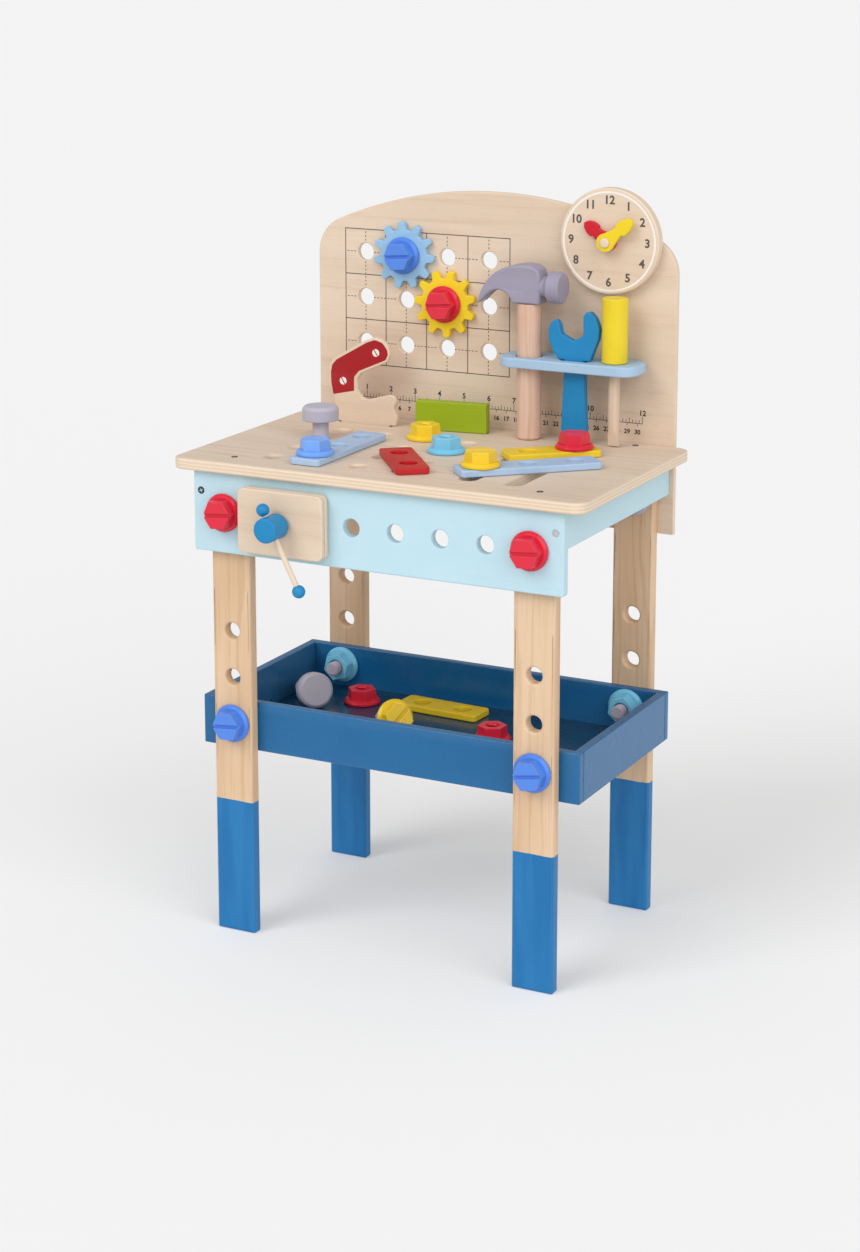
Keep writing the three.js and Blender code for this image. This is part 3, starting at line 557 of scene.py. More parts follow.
RED = paint("red_gloss", (232, 48, 70), (204, 28, 52), rough=0.32, grain_depth=0.05, wear=0.2, coat=0.2)
BLUE = paint("bolt_blue", (90, 142, 236), (68, 116, 214), rough=0.32, grain_depth=0.05, wear=0.25, coat=0.2)
# The bolt blue made paler for the bolt on the tabletop: painted light, for the stronger light from above that falls on
# it.
BOLT_BLUE_PAINTED_LIGHT = paint(
    "bolt_blue_painted_light", (126, 178, 252), (100, 152, 240), rough=0.3, grain_depth=0.05, wear=0.3, coat=0.25
)
AMBER = paint("warm_yellow", (253, 216, 52), (242, 188, 34), rough=0.32, grain_depth=0.05, wear=0.2, coat=0.2)
CYAN = paint("sky_blue", (134, 212, 244), (104, 186, 224), rough=0.32, grain_depth=0.05, wear=0.25, coat=0.2)
LILAC = paint("lilac_grey", (196, 192, 206), (178, 173, 190), rough=0.45, grain_depth=0.1, wear=0.2)
HEAD_GREY = paint("hammer_grey", (166, 161, 180), (148, 143, 163), rough=0.5, grain_depth=0.2, wear=0.25)
ROD = paint("thread_grey", (192, 186, 200), (160, 152, 170), grain="Z", rough=0.5, grain_depth=0.3, wear=0.5)
PALE_BLUE = paint("pale_blue", (199, 230, 241), (186, 219, 232), rough=0.46, grain_depth=0.3, wear=0.12)
RACK_BLUE = paint("rack_blue", (177, 207, 232), (160, 192, 222), rough=0.46, grain_depth=0.3, wear=0.2)
STRIP_BLUE = paint("strip_blue", (182, 208, 238), (164, 192, 226), rough=0.42, grain_depth=0.3, wear=0.25)
STRIP_YELLOW = paint("strip_yellow", (248, 214, 56), (234, 190, 36), rough=0.42, grain_depth=0.25, wear=0.2)
STRIP_RED = paint("strip_red", (202, 46, 50), (178, 30, 36), rough=0.42, grain_depth=0.25, wear=0.2)
TRAY_BLUE = paint("tray_blue", (41, 108, 161), (34, 98, 150), rough=0.28, grain_depth=0.15, wear=0.15, coat=0.15)
# The tray blue darkened for the tray's floor: painted shade, for the shadow under the tabletop.
TRAY_FLOOR_PAINTED_SHADE = paint("tray_floor_blue_painted_shade", (28, 74, 106), (20, 58, 86), rough=0.24, grain_depth=0.3, wear=0.1, coat=0.3)
GEAR_BLUE = paint("gear_blue", (160, 202, 234), (140, 184, 222), rough=0.44, grain_depth=0.25, wear=0.25)
GEAR_YELLOW = paint("gear_yellow", (253, 220, 54), (244, 200, 34), rough=0.42, grain_depth=0.2, wear=0.2)
TOOL_BLUE = paint("tool_blue", (46, 143, 198), (34, 124, 180), grain="Z", rough=0.4, grain_depth=0.25, wear=0.2)
SAW_RED = paint("saw_red", (174, 22, 38), (152, 14, 28), rough=0.45, grain_depth=0.2, wear=0.1)
GREEN = paint("leaf_green", (158, 182, 22), (140, 164, 14), rough=0.45, grain_depth=0.3, wear=0.2)
YELLOW = paint("bright_yellow", (244, 217, 56), (230, 198, 38), grain="Z", rough=0.4, grain_depth=0.2, wear=0.15)
HAND_RED = paint("hand_red", (216, 42, 58), (186, 26, 44), rough=0.42, grain_depth=0.2, wear=0.25)
HAND_YELLOW = paint("hand_yellow", (248, 218, 48), (232, 196, 34), rough=0.42, grain_depth=0.2, wear=0.25)
INK = ink("dark_ink", (98, 88, 92))
DARK_INK = ink("ruler_ink", (66, 58, 60), 0.15)
WHITE_INK = ink("white_ink", (252, 244, 238), 0.1)
STEEL = steel("screw_steel")
DARK_STEEL = steel("screw_steel_dark", 96, 52)
BOARD = birch("board_birch", "X", "Y", 1.2, 0.31, 0.8)
TOP = birch("top_birch", "X", "Z", 1.45, 1.73, 1.3, 3)
VISE_WOOD = birch("vise_birch", "X", "Y", 1.2, 2.9, 0.8)
CLOCK_WOOD = birch("clock_birch", "X", "Y", 1.65, 4.4, 0.6)
SAW_WOOD = birch("saw_birch", "X", "Y", 1.3, 5.2, 0.8)
HANDLE_WOOD = pine("handle_beech", "Z", "X", 0.7, 120, lacquer=0.6, blush=6)
DOWEL = birch("dowel_birch", "Z", None, 1, 3.3)
PIN = birch("pin_birch", "Z", None, 1, 6.1)


# ------------------------------------------------------------------ frame pieces


def tabletop():
    lo, hi = corners("tabletop")
    loops = [rectangle(lo.x, lo.y, hi.x, hi.y, 12, 14)]
    for column in range(4):
        for row in range(4):
            loops.append(circle(TOP_HOLE_X + column * PITCH, TOP_HOLE_Y + row * PITCH, HOLE_R))
    for x in (72.9, 115.2):
        loops.append(slot_outline(x, TOP_HOLE_Y, TOP_HOLE_Y + 3 * PITCH, 2 * HOLE_R))
    saw_slot = rectangle(-140.5, 186, -85.5, 194, 0.8, 3)
    loops.append(saw_slot)
    stand_in("tabletop", flat(loops, lo.z, hi.z, 1.6, 4), TOP)
    for i, (x, y) in enumerate(((-LEG_X, 9.4), (LEG_X, 9.4), (-LEG_X, 213), (LEG_X, 213))):
        small_screw(f"top_screw_{i + 1}", at(x, y, TOP_Z + 0.25), 3.1, DARK_STEEL)


def small_screw(name, matrix, radius, metal):
    """A countersunk cross-head screw, seen from above its head."""
    head = turned([(0, -2.0), (radius * 0.6, -2.0), (radius, -0.35), (radius * 0.92, 0), (0, 0.1)], 0.2, 32, 2)
    arm, half = radius * 0.62, radius * 0.15
    slots = [block((-arm, -half, -1.7), (arm, half, 1)), block((-half, -arm, -1.7), (half, arm, 1))]
    piece(name, cut(head, *slots), metal, "bench", matrix @ turn(24, "Z"))


def front_board(node, corner, steps, bevel, material, holes, segments=3):
    """A drilled board that faces the front, as large as its CAD node."""
    lo, hi = corners(node)
    loops = [rectangle(lo.x, lo.z, hi.x, hi.z, corner, steps), *holes]
    stand_in(node, upright(loops, lo.y, hi.y, bevel, segments), material)


def side_board(node, corner, bevel, material):
    """A plain board that faces the side, as large as its CAD node."""
    lo, hi = corners(node)
    outline = rectangle(lo.y, lo.z, hi.y, hi.z, corner, 3)
    stand_in(node, side_plate([outline], lo.x, hi.x, bevel), material)


def backboard():
    lo, hi = corners("backboard")
    arch, corner = 400.0, 35.0
    centre = hi.z - arch
    corner_x = hi.x - corner
    corner_z = centre + math.sqrt((arch - corner) ** 2 - corner_x**2)
    tilt = math.atan2(corner_z - centre, corner_x)
    outline = [(lo.x, lo.z), (hi.x, lo.z), *arc(corner_x, corner_z, corner, 0, tilt, 14)]
    outline += arc(0, centre, arch, tilt, math.pi - 2 * tilt, 60)[1:-1]
    outline += arc(-corner_x, corner_z, corner, math.pi - tilt, tilt, 14)
    loops = [outline]
    for column in range(4):
        for row in range(3):
            loops.append(circle(GRID_X + column * GRID_STEP, GRID_Z - row * GRID_STEP, HOLE_R))
    for x in (-LEG_X, LEG_X):
        loops.append(circle(x, BOLT_Z, HOLE_R))
    stand_in("backboard", upright(loops, lo.y, hi.y, 1.1), BOARD)


def board_print():
    """Grid lines, dashed centre lines and the ruler, printed on the backboard."""
    face = low("backboard").y
    back, front = face + 0.03, face - 0.05
    bars = []

    def bar(x0, z0, x1, z1):
        bars.append(block((x0, front, z0), (x1, back, z1)))

    def clear(place, holes):
        return min(abs(place - hole) for hole in holes) > HOLE_R + 0.9

    left, top = -152.0, 613.5
    right, bottom = left + 4 * GRID_STEP, top - 3 * GRID_STEP
    half = 0.42
    for i in range(5):
        x = left + i * GRID_STEP
        bar(x - half, bottom - half, x + half, top + half)
    for i in range(4):
        z = top - i * GRID_STEP
        bar(left - half, z - half, right + half, z + half)
    half, step, dash = 0.38, 3.5, 1.9
    columns = [GRID_X + i * GRID_STEP for i in range(4)]
    rows = [GRID_Z - i * GRID_STEP for i in range(3)]
    for x in columns:
        for k in range(int((top - bottom) / step)):
            z = top - 2 - k * step
            if clear(z - 1, rows):
                bar(x - half, z - dash, x + half, z)
    for z in rows:
        for k in range(int((right - left) / step)):
            x = left + 2 + k * step
            if clear(x + 1, columns):
                bar(x, z - half, x + dash, z + half)
    inch, half = 25.4, 0.28
    zero, base = -155.3, 455.0
    for k in range(12 * 8 + 1):
        x = zero + inch * k / 8
        tall = 6.5 if k % 8 == 0 else 4.6 if k % 4 == 0 else 3.2
        bar(x - half, base, x + half, base + tall)
    bar(zero, base - 0.3, zero + 12 * inch, base + 0.3)
    for k in range(31):
        x = zero + 10 * k
        bar(x - half, base - 2.6, x + half, base)
    piece("board_grid_print", joined(*bars), INK, "bench")
    labels = [(str(k), zero + inch * k, 464.4, 5.0) for k in range(1, 13)]
    labels += [(str(k), zero + 10 * k, 446.9, 4.2) for k in range(1, 31)]
    piece("board_ruler_figures", lettering(labels, front + 0.04, 0.08, 0.2), DARK_INK, "bench")


def lettering(labels, y, depth, bold):
    """Upright figures centred on (x, z), facing the front."""
    meshes = []
    for text, x, z, size in labels:
        data = bpy.data.curves.new("figures", "FONT")
        data.body = text
        data.size = size * 1.38
        data.align_x = data.align_y = "CENTER"
        data.extrude = depth / 2
        data.offset = bold
        data.resolution_u = 3
        meshes.append(moved(baked(linked("figures", data)), at(x, y, z) @ turn(90, "X")))
    return joined(*meshes)


def aprons():
    jaw = middle("vise_jaw")
    holes = [circle(x, BOLT_Z, HOLE_R) for x in (-LEG_X, *(k * PITCH for k in (-0.5, 0.5, 1.5, 2.5)), LEG_X)]
    front_board("front_apron", 2.2, 4, 1.2, PALE_BLUE, [*holes, circle(jaw.x, jaw.z, 5.6)])
    side_board("left_apron", 0.8, 0.8, PALE_BLUE)
    side_board("right_apron", 0.8, 0.8, PALE_BLUE)
    face = low("front_apron").y - 0.35
    for side, x, metal in (("left", -170.2, DARK_STEEL), ("right", 170.2, STEEL)):
        small_screw("apron_screw_" + side, at(x, face, 408.6) @ turn(90, "X"), 3.4, metal)


def legs():
    for i, node in enumerate(("leg_front_left", "leg_front_right", "leg_back_left", "leg_back_right")):
        x = middle(node).x
        heights = ((TRAY_Z, HOLE_R), (TRAY_Z + PITCH, 7.3), (TRAY_Z + 2 * PITCH, 7.3), (BOLT_Z, HOLE_R))
        holes = [circle(x, z, r) for z, r in heights]
        wood = pine(f"leg_pine_{i + 1}", "Z", "X", 0.9 + i * 1.37, 62 + 9 * i, dip_below=124)
        front_board(node, 1.6, 3, 2.4, wood, holes, 4)


def tray():
    for node in ("tray_front", "tray_back"):
        front_board(node, 0.9, 3, 0.9, TRAY_BLUE, [circle(x, TRAY_Z, HOLE_R) for x in (-LEG_X, LEG_X)])
    for node in ("tray_left", "tray_right"):
        side_board(node, 0.7, 0.9, TRAY_BLUE)
    lo, hi = corners("tray_floor")
    # the floor takes the tray blue with painted shade
    stand_in("tray_floor", flat([rectangle(lo.x, lo.y, hi.x, hi.y, 0.6, 2)], lo.z, hi.z, 0.4, 2), TRAY_FLOOR_PAINTED_SHADE)


# ------------------------------------------------------------------ fasteners


HEX_R = 14.4
FLANGE_R = 17.1


def hex_block(taper):
    return prism(circle(0, 0, HEX_R, 6), 1.0, 14.0, taper)


def flange():
    return turned([(0, 0), (FLANGE_R, 0), (FLANGE_R, 2.3), (14.9, 4.5), (0, 4.5)], 0.8)


def hex_head():
    slot = block((-20, -1.5, 11.4), (20, 1.5, 20))
    return joined(flange(), soften(cut(hex_block(0.955), slot), 0.75))


def nut_mesh(hole):
    body = soften(cut(hex_block(0.925), cylinder(hole, -2, 20, 48)), 0.75)
    return joined(cut(flange(), cylinder(hole, -2, 20, 48)), body, inner_thread(hole))


HEX_HEAD = hex_head()
ROUND_HEAD = turned(
    [(0, 0), (15.9, 0), (16.5, 0.8), (16.5, 10.4), (14.2, 13.2), (0, 13.2)],
    [0, 0.4, 0.6, 1.4, 1.8, 0],
)
NUT = nut_mesh(6.3)
WIDE_NUT = nut_mesh(7.6)


def fastener(node, head, head_paint, shaft, matrix, nut_at=None, smooth=False):
    """A bolt with its seat at z = 0: head above, threaded or smooth shaft below, and maybe its nut."""
    stand_in(node, head, head_paint, matrix)
    if smooth:
        rod = turned([(0, -shaft), (7.3, -shaft), (7.3, 0.8), (0, 0.8)], [0, 1.2, 0, 0], 48)
    else:
        rod = threaded(6.5, -shaft, 0.8)
    body, slot = BODY_OF[node], SLOT_OF[node]
    piece(node + "_thread", rod, head_paint if smooth else ROD, body, matrix, slot=slot)
    if nut_at is not None:
        piece(node + "_nut", NUT, head_paint, body, matrix @ at(0, 0, nut_at) @ turn(180, "X"), slot=slot)


def clamping_bolts():
    for side, x, roll in (("left", -LEG_X, 6), ("right", LEG_X, 9)):
        front = at(x, -GAP, TRAY_Z) @ turn(90, "X") @ turn(roll, "Z")
        fastener("tray_bolt_front_" + side, HEX_HEAD, BLUE, 37.9, front, -20.9)
        node, nut = "tray_bolt_back_" + side, "tray_nut_back_" + side
        seat = high("leg_back_" + side).y + GAP
        fastener(node, ROUND_HEAD, LILAC, seat - low(node).y, at(x, seat, TRAY_Z) @ turn(-90, "X"))
        stand_in(nut, WIDE_NUT, CYAN, at(x, high(nut).y, TRAY_Z) @ turn(90, "X") @ turn(17, "Z"))
        front = at(x, low("front_apron").y - GAP, BOLT_Z) @ turn(90, "X") @ turn(5, "Z")
        fastener("apron_bolt_" + side, HEX_HEAD, RED, 37.9, front, -21.9)
        back = at(x, high("backboard").y + GAP, BOLT_Z) @ turn(-90, "X")
        fastener("board_bolt_" + side, ROUND_HEAD, LILAC, 34.9, back, -18.9)


# ------------------------------------------------------------------ gears and clock


TEETH = 11


def gear_mesh(phase):
    points, radii = [], []
    tooth = ((-0.32, 23.9, 1.4), (-0.165, 30.6, 1.2), (0.0, 31.4, 3.0), (0.165, 30.6, 1.2), (0.32, 23.9, 1.4))
    for i in range(TEETH):
        for part, radius, rounding in tooth:
            angle = phase + (i + part) * 2 * math.pi / TEETH
            points.append((radius * math.cos(angle), radius * math.sin(angle)))
            radii.append(rounding)
    return upright([fillet(points, radii, 4), circle(0, 0, 8)], 0, 6, 0.9)


def gears():
    """Both gears stand a quarter tooth off the line between them, so that the teeth mesh."""
    towards = -math.pi / 4 + 2 * math.pi / TEETH / 4
    y = low("gear_blue").y
    for node, bolt, column, row, phase, gear_paint, bolt_paint in (
        ("gear_blue", "gear_bolt_blue", 1, 0, towards, GEAR_BLUE, BLUE),
        ("gear_yellow", "gear_bolt_red", 2, 1, towards + math.pi, GEAR_YELLOW, RED),
    ):
        x, z = GRID_X + column * GRID_STEP, GRID_Z - row * GRID_STEP
        stand_in(node, gear_mesh(phase), gear_paint, at(x, y, z))
        place = at(x, y - GAP, z) @ turn(90, "X") @ turn(5, "Z")
        fastener(bolt, HEX_HEAD, bolt_paint, 26.2, place, -12.9)


def hand_mesh(length):
    points = arc(0, 0, 8.3, math.pi * 0.82, math.pi * 1.36, 16)
    leaf = [(4.7, 0.4), (4.4, 0.5), (6.5, 0.56), (6.1, 0.74), (3.7, 0.92), (0, 1.0)]
    rounding = [4.0, 0.7, 0.9, 6.0, 3.0, 1.3]
    radii = [0] * len(points) + rounding + rounding[-2::-1]
    points += [(half, part * length) for half, part in leaf]
    points += [(-half, part * length) for half, part in leaf[-2::-1]]
    return upright([fillet(points, radii, 5), circle(0, 0, 3.4, 32)], 0, 4.8, 0.8)


def clock():
    lo, hi = corners("clock_face")
    x, z, radius = (lo.x + hi.x) / 2, (lo.z + hi.z) / 2, (hi.x - lo.x) / 2
    thick = 9.9
    face = turned([(0, 0), (radius, 0), (radius, thick), (0, thick)], [0, 1.2, 1.8, 0], 128, 6)
    face = moved(cut(face, cylinder(3.1, 4, 15, 32)), turn(90, "X"))
    stand_in("clock_face", face, CLOCK_WOOD, at(x, hi.y, z))
    front = hi.y - thick
    band = skin([ring(r, depth, 128) for r, depth in ((42.9, 0), (44.6, 0), (44.6, 0.1), (42.9, 0.1))], closed=True)
    piece("clock_ring_print", band, WHITE_INK, "bench", at(x, front - 0.06, z) @ turn(-90, "X"), slot="birch")
    labels = []
    for hour in range(1, 13):
        angle = math.radians(90 - 30 * hour)
        labels.append((str(hour), 36.6 * math.cos(angle), 36.6 * math.sin(angle), 7.6))
    figures = lettering(labels, 0, 0.1, 0.32)
    piece("clock_figures", figures, INK, "bench", at(x, front - 0.02, z), slot="birch")
    for node, length, material, degrees in (
        ("hour_hand", 27.5, HAND_RED, -53),
        ("minute_hand", 33.5, HAND_YELLOW, 50),
    ):
        stand_in(node, hand_mesh(length), material, at(x, low(node).y, z) @ turn(degrees, "Y"))
    tip = low("clock_pin").y
    end = front - tip + 4.5
    pin = turned(
        [(0, 0), (3.4, 0.35), (5.0, 1.75), (2.85, 1.85), (2.85, end), (0, end)],
        [0, 1.5, 0.3, 0, 0.3, 0],
        40,
    )
    stand_in("clock_pin", pin, PIN, at(x, tip, z) @ turn(-90, "X"))


# ------------------------------------------------------------------ rack and tools


def rack():
    lo, hi = corners("tool_rack")
    hammer, driver, wrench = middle("hammer_handle"), middle("screwdriver_handle"), middle("wrench")
    wrench.x += 0.5
    loops = [
        rectangle(lo.x, lo.y, hi.x, hi.y, 15, 14),
        circle(hammer.x, hammer.y, 11.9),
        rectangle(wrench.x - 12.8, wrench.y - 4.8, wrench.x + 12.8, wrench.y + 4.8, 0.8, 3),
        circle(driver.x, driver.y, 6, 32),
    ]
    stand_in("tool_rack", flat(loops, lo.z, hi.z, 1.3), RACK_BLUE)


def hammer():
    lo, hi = corners("hammer_handle")
    x, y = middle("hammer_handle").xy
    top = low("hammer_head").z + 3.0 - GAP
    handle = turned(
        [(0, lo.z), (9.8, lo.z), (11, lo.z + 1.6), (11, top), (6, top), (6, hi.z), (0, hi.z)],
        [0, 0.8, 0.8, 0.6, 0, 0.5, 0],
    )
    stand_in("hammer_handle", handle, HANDLE_WOOD, at(x, y, 0))
    outline = [
        (13, 0), (14.2, 8), (14.2, 24), (12, 31), (6, 34.4), (-2, 35.2), (-13, 33.8), (-24, 30.5),
        (-32.5, 25.4), (-39.5, 18.2), (-44.5, 10), (-47.4, 2), (-48.4, -3.4), (-43.6, 0.8), (-39.6, 5),
        (-34, 9.6), (-27.5, 11.3), (-20.7, 9.6), (-15.4, 5), (-12, 0),
    ]
    radii = [1, 4, 4, 4, 8, 30, 40, 40, 40, 30, 30, 20, 0.7, 20, 20, 12, 10, 10, 10, 1]
    body = upright([fillet(outline, radii, 6)], -11, 11, 2.2, 4)
    for v in body.vertices:  # thinner towards the claw and towards the poll
        if v.co.x < -14:
            v.co.y *= 1 - 0.22 * min(1.0, (-14 - v.co.x) / 38)
        elif v.co.x > 2:
            v.co.y *= 1 - 0.16 * min(1.0, (v.co.x - 2) / 12) ** 2
    poll = turned(
        [(0, 0), (9.6, 0), (9.6, 7.5), (14.3, 11.2), (14.3, 21.2), (12.9, 23), (0, 23)],
        [0, 0, 1.5, 1.2, 0.8, 0.8, 0],
    )
    split = [(-62, -22), (-62, 30), (-45, 30), (-33.5, 8), (-39, -22)]
    body = cut(body, upright([fillet(split, [0, 0, 1, 2.2, 0], 5)], -2.4, 2.4, 0.3, 1))
    body = cut(body, cylinder(6.4, -5, 22.5, 40))
    head = joined(body, moved(poll, at(10, 0, 15.5) @ turn(90, "Y")))
    stand_in("hammer_head", head, HEAD_GREY, at(x, y, top + GAP))


def wrench():
    centre = middle("wrench")
    outline = [
        (-15, 0), (-21, 8), (-25, 18), (-25, 27), (-22, 34), (-17, 36), (-14, 30), (-12.5, 23),
        (-1, 17.5), (9, 23), (8.5, 40), (11, 44), (15, 44.5), (20.5, 39), (24, 30), (23, 20), (18.5, 9),
        (15, 0), (9, 0), (10, -16), (12, -64), (11, -71), (7, -73), (-7, -73), (-11, -71), (-12, -64),
        (-10, -16), (-9, 0),
    ]
    radii = [0.8, 9, 12, 9, 4, 2.5, 3, 2.5, 2.5, 2.5, 3, 2, 2.5, 6, 12, 12, 9, 0.8, 0.6, 6, 10, 2, 2, 2, 2, 10, 6, 0.6]
    shape = upright([fillet(outline, radii, 5)], -4, 4, 1.1)
    stand_in("wrench", shape, TOOL_BLUE, at(centre.x + 0.5, centre.y, high("tool_rack").z + GAP))


def screwdriver():
    lo, hi = corners("screwdriver_handle")
    centre = middle("screwdriver_handle")
    handle = turned([(0, lo.z), (11.5, lo.z), (11.5, hi.z), (0, hi.z)], [0, 1.0, 1.0, 0], 72, 5)
    handle = cut(handle, cylinder(5.4, lo.z - 3, lo.z + 25, 40))
    stand_in("screwdriver_handle", handle, YELLOW, at(centre.x, centre.y, 0))
    lo, hi = corners("screwdriver_shaft")
    tip = lo.z
    wedge = [(1.0, tip - 2), (8, tip - 2), (8, tip + 17), (5.2, tip + 17)]
    tools = [moved(prism(wedge, -12, 12), turn(angle, "Z") @ turn(90, "X")) for angle in (90, -90)]
    shaft = soften(cut(cylinder(5.15, tip, hi.z, 48), *tools), 0.35, 2, 24)
    stand_in("screwdriver_shaft", shaft, DOWEL, at(centre.x, centre.y, 0))


def saw():
    teeth = [(26 + (-2.2 if i % 2 else 0), -8 - i * 8.5) for i in range(7)]
    outline = [
        (-29, 0.3), (-30, 23), (-35, 37), (-36, 50), (-31, 59), (4, 79), (13, 82), (21, 80), (27, 74),
        (28.5, 67), (26, 60), (-2, 47), (-6, 41), (-5.5, 30), (-1, 24), (4, 22.5), (28, 29), (33, 27.5),
        (35, 23), (32, 16.5), (36, 8), (34, 0.3), (28, 0.3), *teeth, (20, -68), (-18, -68), (-23, -60),
        (-23, 0.3),
    ]
    radii = [0.5, 8, 10, 8, 7, 5, 8, 8, 7, 6, 5, 4, 4, 5, 4, 6, 3, 3, 4, 5, 4, 0.6, 0.6] + [4] * 7 + [3, 4, 4, 0.6]
    y = middle("saw").y
    place = at(-116, y, TOP_Z)
    stand_in("saw", upright([fillet(outline, radii, 5)], -2.42, 2.42, 0.8), SAW_WOOD, place)
    red = [
        (-31, 25), (-33.2, 37), (-33.4, 46), (-32, 53), (-27.5, 58), (4.5, 76.5), (13, 79.6),
        (21, 77.2), (25.8, 71), (26.6, 66.5), (24.2, 61.5), (-4, 49), (-9, 43), (-9, 30),
    ]
    curve = fillet(red, [0.8, 6, 6, 5, 5, 4, 6, 6, 5, 4, 4, 4, 4, 0.8], 5)
    for name, y0, y1 in (("saw_print_front", -2.5, -2.38), ("saw_print_back", 2.38, 2.5)):
        piece(name, upright([curve], y0, y1, 0.02, 1), SAW_RED, "saw", place)
    for i, (px, pz) in enumerate(((14, 67.5), (-20.5, 38.5))):
        disc = turned([(0, 0), (3.6, 0), (3.6, 0.14), (0, 0.14)], 0.03, 36, 1)
        groove = block((-5, -0.55, -1), (5, 0.55, 1))
        spot = place @ at(px, -2.46, pz) @ turn(90, "X") @ turn(-58, "Z")
        piece(f"saw_screw_print_{i + 1}", cut(disc, groove), WHITE_INK, "saw", spot)


def green_block():
    centre = middle("green_block")
    brick = soften(block((-34.25, -5.5, -13.5), (34.25, 5.5, 13.5)), 0.9)
    stand_in("green_block", brick, GREEN, at(*centre) @ turn(7.6, "Z"))


# ------------------------------------------------------------------ vise


def vise():
    x, z = middle("vise_jaw").x, middle("vise_jaw").z
    for node in ("vise_back_board", "vise_jaw"):
        lo, hi = corners(node)
        loops = [rectangle(lo.x, lo.z, hi.x, hi.z, 6, 10), circle(x, z, 5.7, 32)]
        stand_in(node, upright(loops, lo.y + 0.1, hi.y - 0.7, 1.2), VISE_WOOD)
    lean = 27
    front, back = (corner.y for corner in corners("vise_screw"))
    knob_r, knob_back, bar_y = 11, front + 23, front + 11.5
    screw = turned(
        [(0, front), (knob_r, front), (knob_r, knob_back), (5, knob_back), (5, back), (0, back)],
        [0, 1.5, 1.2, 0, 0.6, 0],
        56,
    )
    hole = moved(cylinder(2.9, -20, 20, 24), at(0, 0, bar_y) @ turn(-lean, "Z") @ turn(-90, "X"))
    stand_in("vise_screw", cut(screw, hole), TOOL_BLUE, at(x, 0, z) @ turn(-90, "X"))
    drop = 38 - knob_r - 5.8 - GAP  # the bar hangs down until its upper ball meets the knob
    angle = math.radians(lean)
    place = at(x + drop * math.sin(angle), bar_y, z - drop * math.cos(angle)) @ turn(-lean, "Y")
    rod = turned([(0, -37), (2.4, -37), (2.4, 37), (0, 37)], 0.3, 28)
    piece("vise_bar_rod", rod, DOWEL, "vise_bar", place, slot="pine")
    balls = joined(*[moved(ball(5.75), at(0, 0, end)) for end in (38, -38)])
    stand_in("vise_bar", balls, TOOL_BLUE, place)


def ball(radius, rows=20, sides=36):
    angles = [math.pi * i / rows for i in range(1, rows)]
    profile = [(radius * math.sin(angle), -radius * math.cos(angle)) for angle in angles]
    return lathe([(0, -radius), *profile, (0, radius)], sides)


# ------------------------------------------------------------------ loose pieces


def strip(node, holes, material, matrix):
    half = holes * PITCH / 2
    loops = [rectangle(-half, -14.8, half, 14.8, 4, 6)]
    loops += [circle((i - (holes - 1) / 2) * PITCH, 0, HOLE_R) for i in range(holes)]
    stand_in(node, flat(loops, 0, 6, 1.0), material, matrix)


def loose_on_top():
    strip_z = TOP_Z + GAP
    on_strip = strip_z + 6.3
    x, y = middle("strip_blue_a").xy
    strip("strip_blue_a", 3, STRIP_BLUE, at(x, y, strip_z) @ turn(90, "Z"))
    # this bolt wears the bolt blue with painted light
    fastener("bolt_blue", HEX_HEAD, BOLT_BLUE_PAINTED_LIGHT, 35, at(x, y - PITCH, on_strip) @ turn(14, "Z"))
    strip("strip_red", 2, STRIP_RED, at(*middle("strip_red").xy, strip_z) @ turn(-51.7, "Z"))
    for node, holes, material, degrees, along_strip, bolt, head_paint, roll in (
        ("strip_blue_b", 3, STRIP_BLUE, 43.2, -PITCH, "bolt_yellow", AMBER, 26),
        ("strip_yellow", 2, STRIP_YELLOW, 41.4, PITCH / 2, "bolt_red", RED, 20),
    ):
        x, y = middle(node).xy
        strip(node, holes, material, at(x, y, strip_z) @ turn(degrees, "Z"))
        a = math.radians(degrees)
        spot = at(x + along_strip * math.cos(a), y + along_strip * math.sin(a), on_strip)
        fastener(bolt, HEX_HEAD, head_paint, 35, spot @ turn(roll, "Z"))
    for node, material, roll in (("nut_yellow", AMBER, 23), ("nut_blue", CYAN, 9)):
        stand_in(node, NUT, material, at(*middle(node).xy, strip_z) @ turn(roll, "Z"))
    fastener("bolt_grey", ROUND_HEAD, LILAC, 39, at(*middle("bolt_grey").xy, TOP_Z + 17.5), smooth=True)


def lying(head_radius, shaft, x, y, degrees):
    """The place of a bolt that lies on the tray's floor, on its head's rim and its shaft's end."""
    droop = math.asin((head_radius - 7.3) / shaft)
    place = at(x, y, high("tray_floor").z + head_radius * math.cos(droop) + GAP)
    return place @ turn(degrees, "Z") @ turn(-90 + math.degrees(droop), "Y")


def loose_in_tray():
    floor = high("tray_floor").z + GAP
    fastener("tray_loose_bolt_grey", ROUND_HEAD, LILAC, 42, lying(16.5, 42, -138.7, 129.3, 135))
    yellow = lying(17.2, 35, -30.7, 87.3, 139) @ turn(-48, "Z")
    fastener("tray_loose_bolt_yellow", HEX_HEAD, AMBER, 35, yellow)
    for node, roll in (("tray_loose_nut_red_a", 11), ("tray_loose_nut_red_b", 29)):
        stand_in(node, NUT, RED, at(*middle(node).xy, floor) @ turn(roll, "Z"))
    node = "tray_loose_strip_yellow"
    strip(node, 2, STRIP_YELLOW, at(*middle(node).xy, floor) @ turn(-3, "Z"))


tabletop()
backboard()
board_print()
aprons()
legs()
tray()
clamping_bolts()
gears()
clock()
rack()
hammer()
wrench()
screwdriver()
saw()
green_block()
vise()
loose_on_top()
loose_in_tray()

# ------------------------------------------------------------------ stage, light and camera


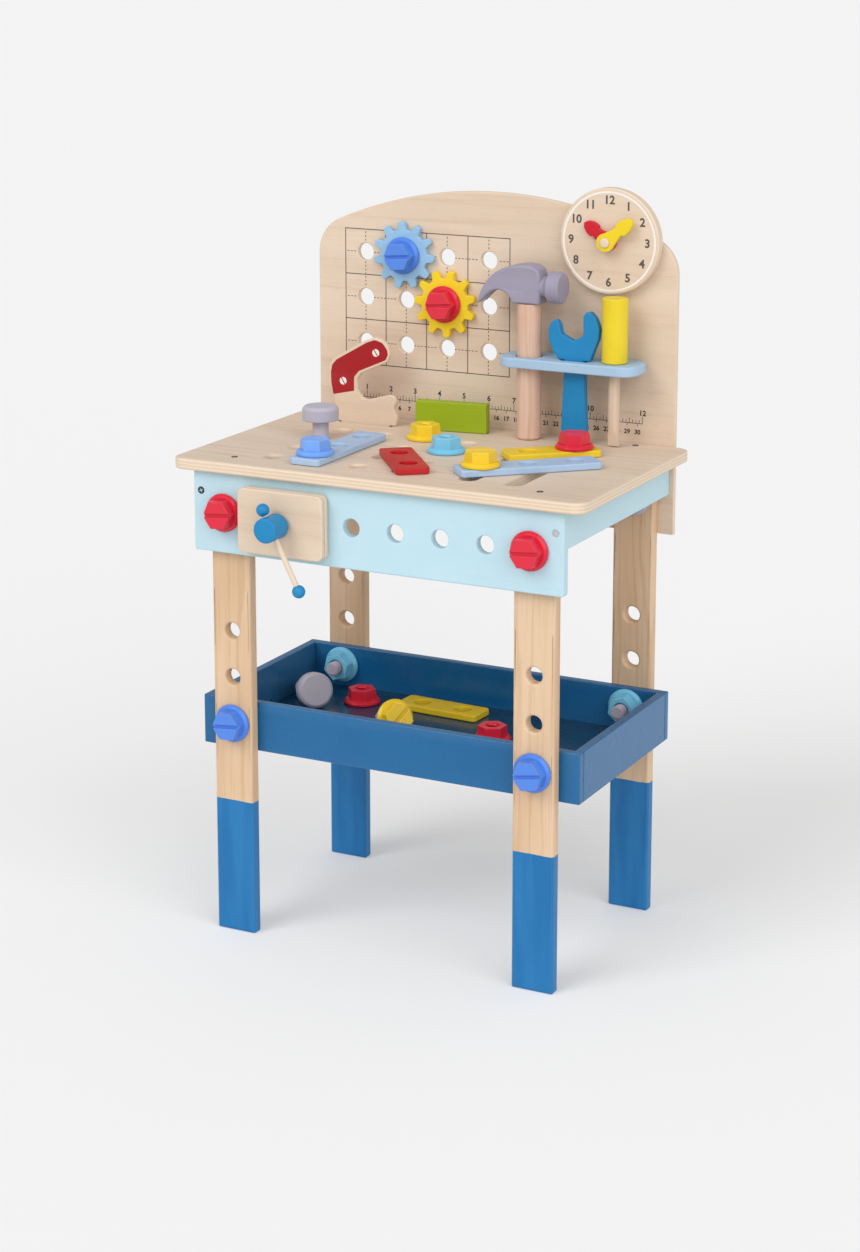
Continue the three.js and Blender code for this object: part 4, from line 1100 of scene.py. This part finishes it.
def stage():
    bpy.ops.mesh.primitive_plane_add(size=160, location=(0, 0, 0))
    floor = bpy.context.object
    floor.name = "floor"
    s = Shader("floor_pale", 0.9)
    for socket, value in (
        ("Specular IOR Level", 0.0),
        ("Emission Color", (1, 1, 1, 1)),
        ("Emission Strength", 0.228),
    ):
        s.bsdf.inputs[socket].default_value = value
    floor.data.materials.append(s.finish((0.7, 0.7, 0.7, 1)))

    world = bpy.data.worlds.new("studio")
    bpy.context.scene.world = world
    world.use_nodes = True
    nodes, links = world.node_tree.nodes, world.node_tree.links
    nodes.clear()
    out = nodes.new("ShaderNodeOutputWorld")
    seen, soft = nodes.new("ShaderNodeBackground"), nodes.new("ShaderNodeBackground")
    seen.inputs["Color"].default_value = srgb(242, 242, 242)
    soft.inputs["Color"].default_value = (1, 1, 1, 1)
    soft.inputs["Strength"].default_value = 0.47
    path, mix = nodes.new("ShaderNodeLightPath"), nodes.new("ShaderNodeMixShader")
    sources = (path.outputs["Is Camera Ray"], soft.outputs[0], seen.outputs[0])
    for source, socket in zip(sources, mix.inputs):
        links.new(source, socket)
    links.new(mix.outputs[0], out.inputs[0])

    for name, strength, angle, azimuth, elevation in (
        ("key", 1.25, 36, -24, 40),
        ("fill", 1.42, 60, 54, 31),
    ):
        data = bpy.data.lights.new(name, "SUN")
        data.energy = strength
        data.angle = math.radians(angle)
        light = linked(name, data)
        a, e = math.radians(azimuth), math.radians(elevation)
        source = Vector((math.sin(a) * math.cos(e), -math.cos(a) * math.cos(e), math.sin(e)))
        light.rotation_mode = "QUATERNION"
        light.rotation_quaternion = source.to_track_quat("Z", "Y")


def camera():
    """Placed and aimed as the picture was taken: from the front right, looking slightly down."""
    data = bpy.data.cameras.new("camera")
    data.sensor_width = 36.0
    data.lens = 76.0701
    data.shift_y = -0.164537
    data.clip_start = 0.05
    data.clip_end = 400
    obj = linked("camera", data)
    obj.location = (1.03342, BENCH_Y - 1.92626, 0.9352)
    obj.rotation_euler = (math.radians(90 - 11.63), 0, math.radians(27.05))
    bpy.context.scene.camera = obj


stage()
camera()
bpy.context.scene.view_settings.view_transform = "Standard"
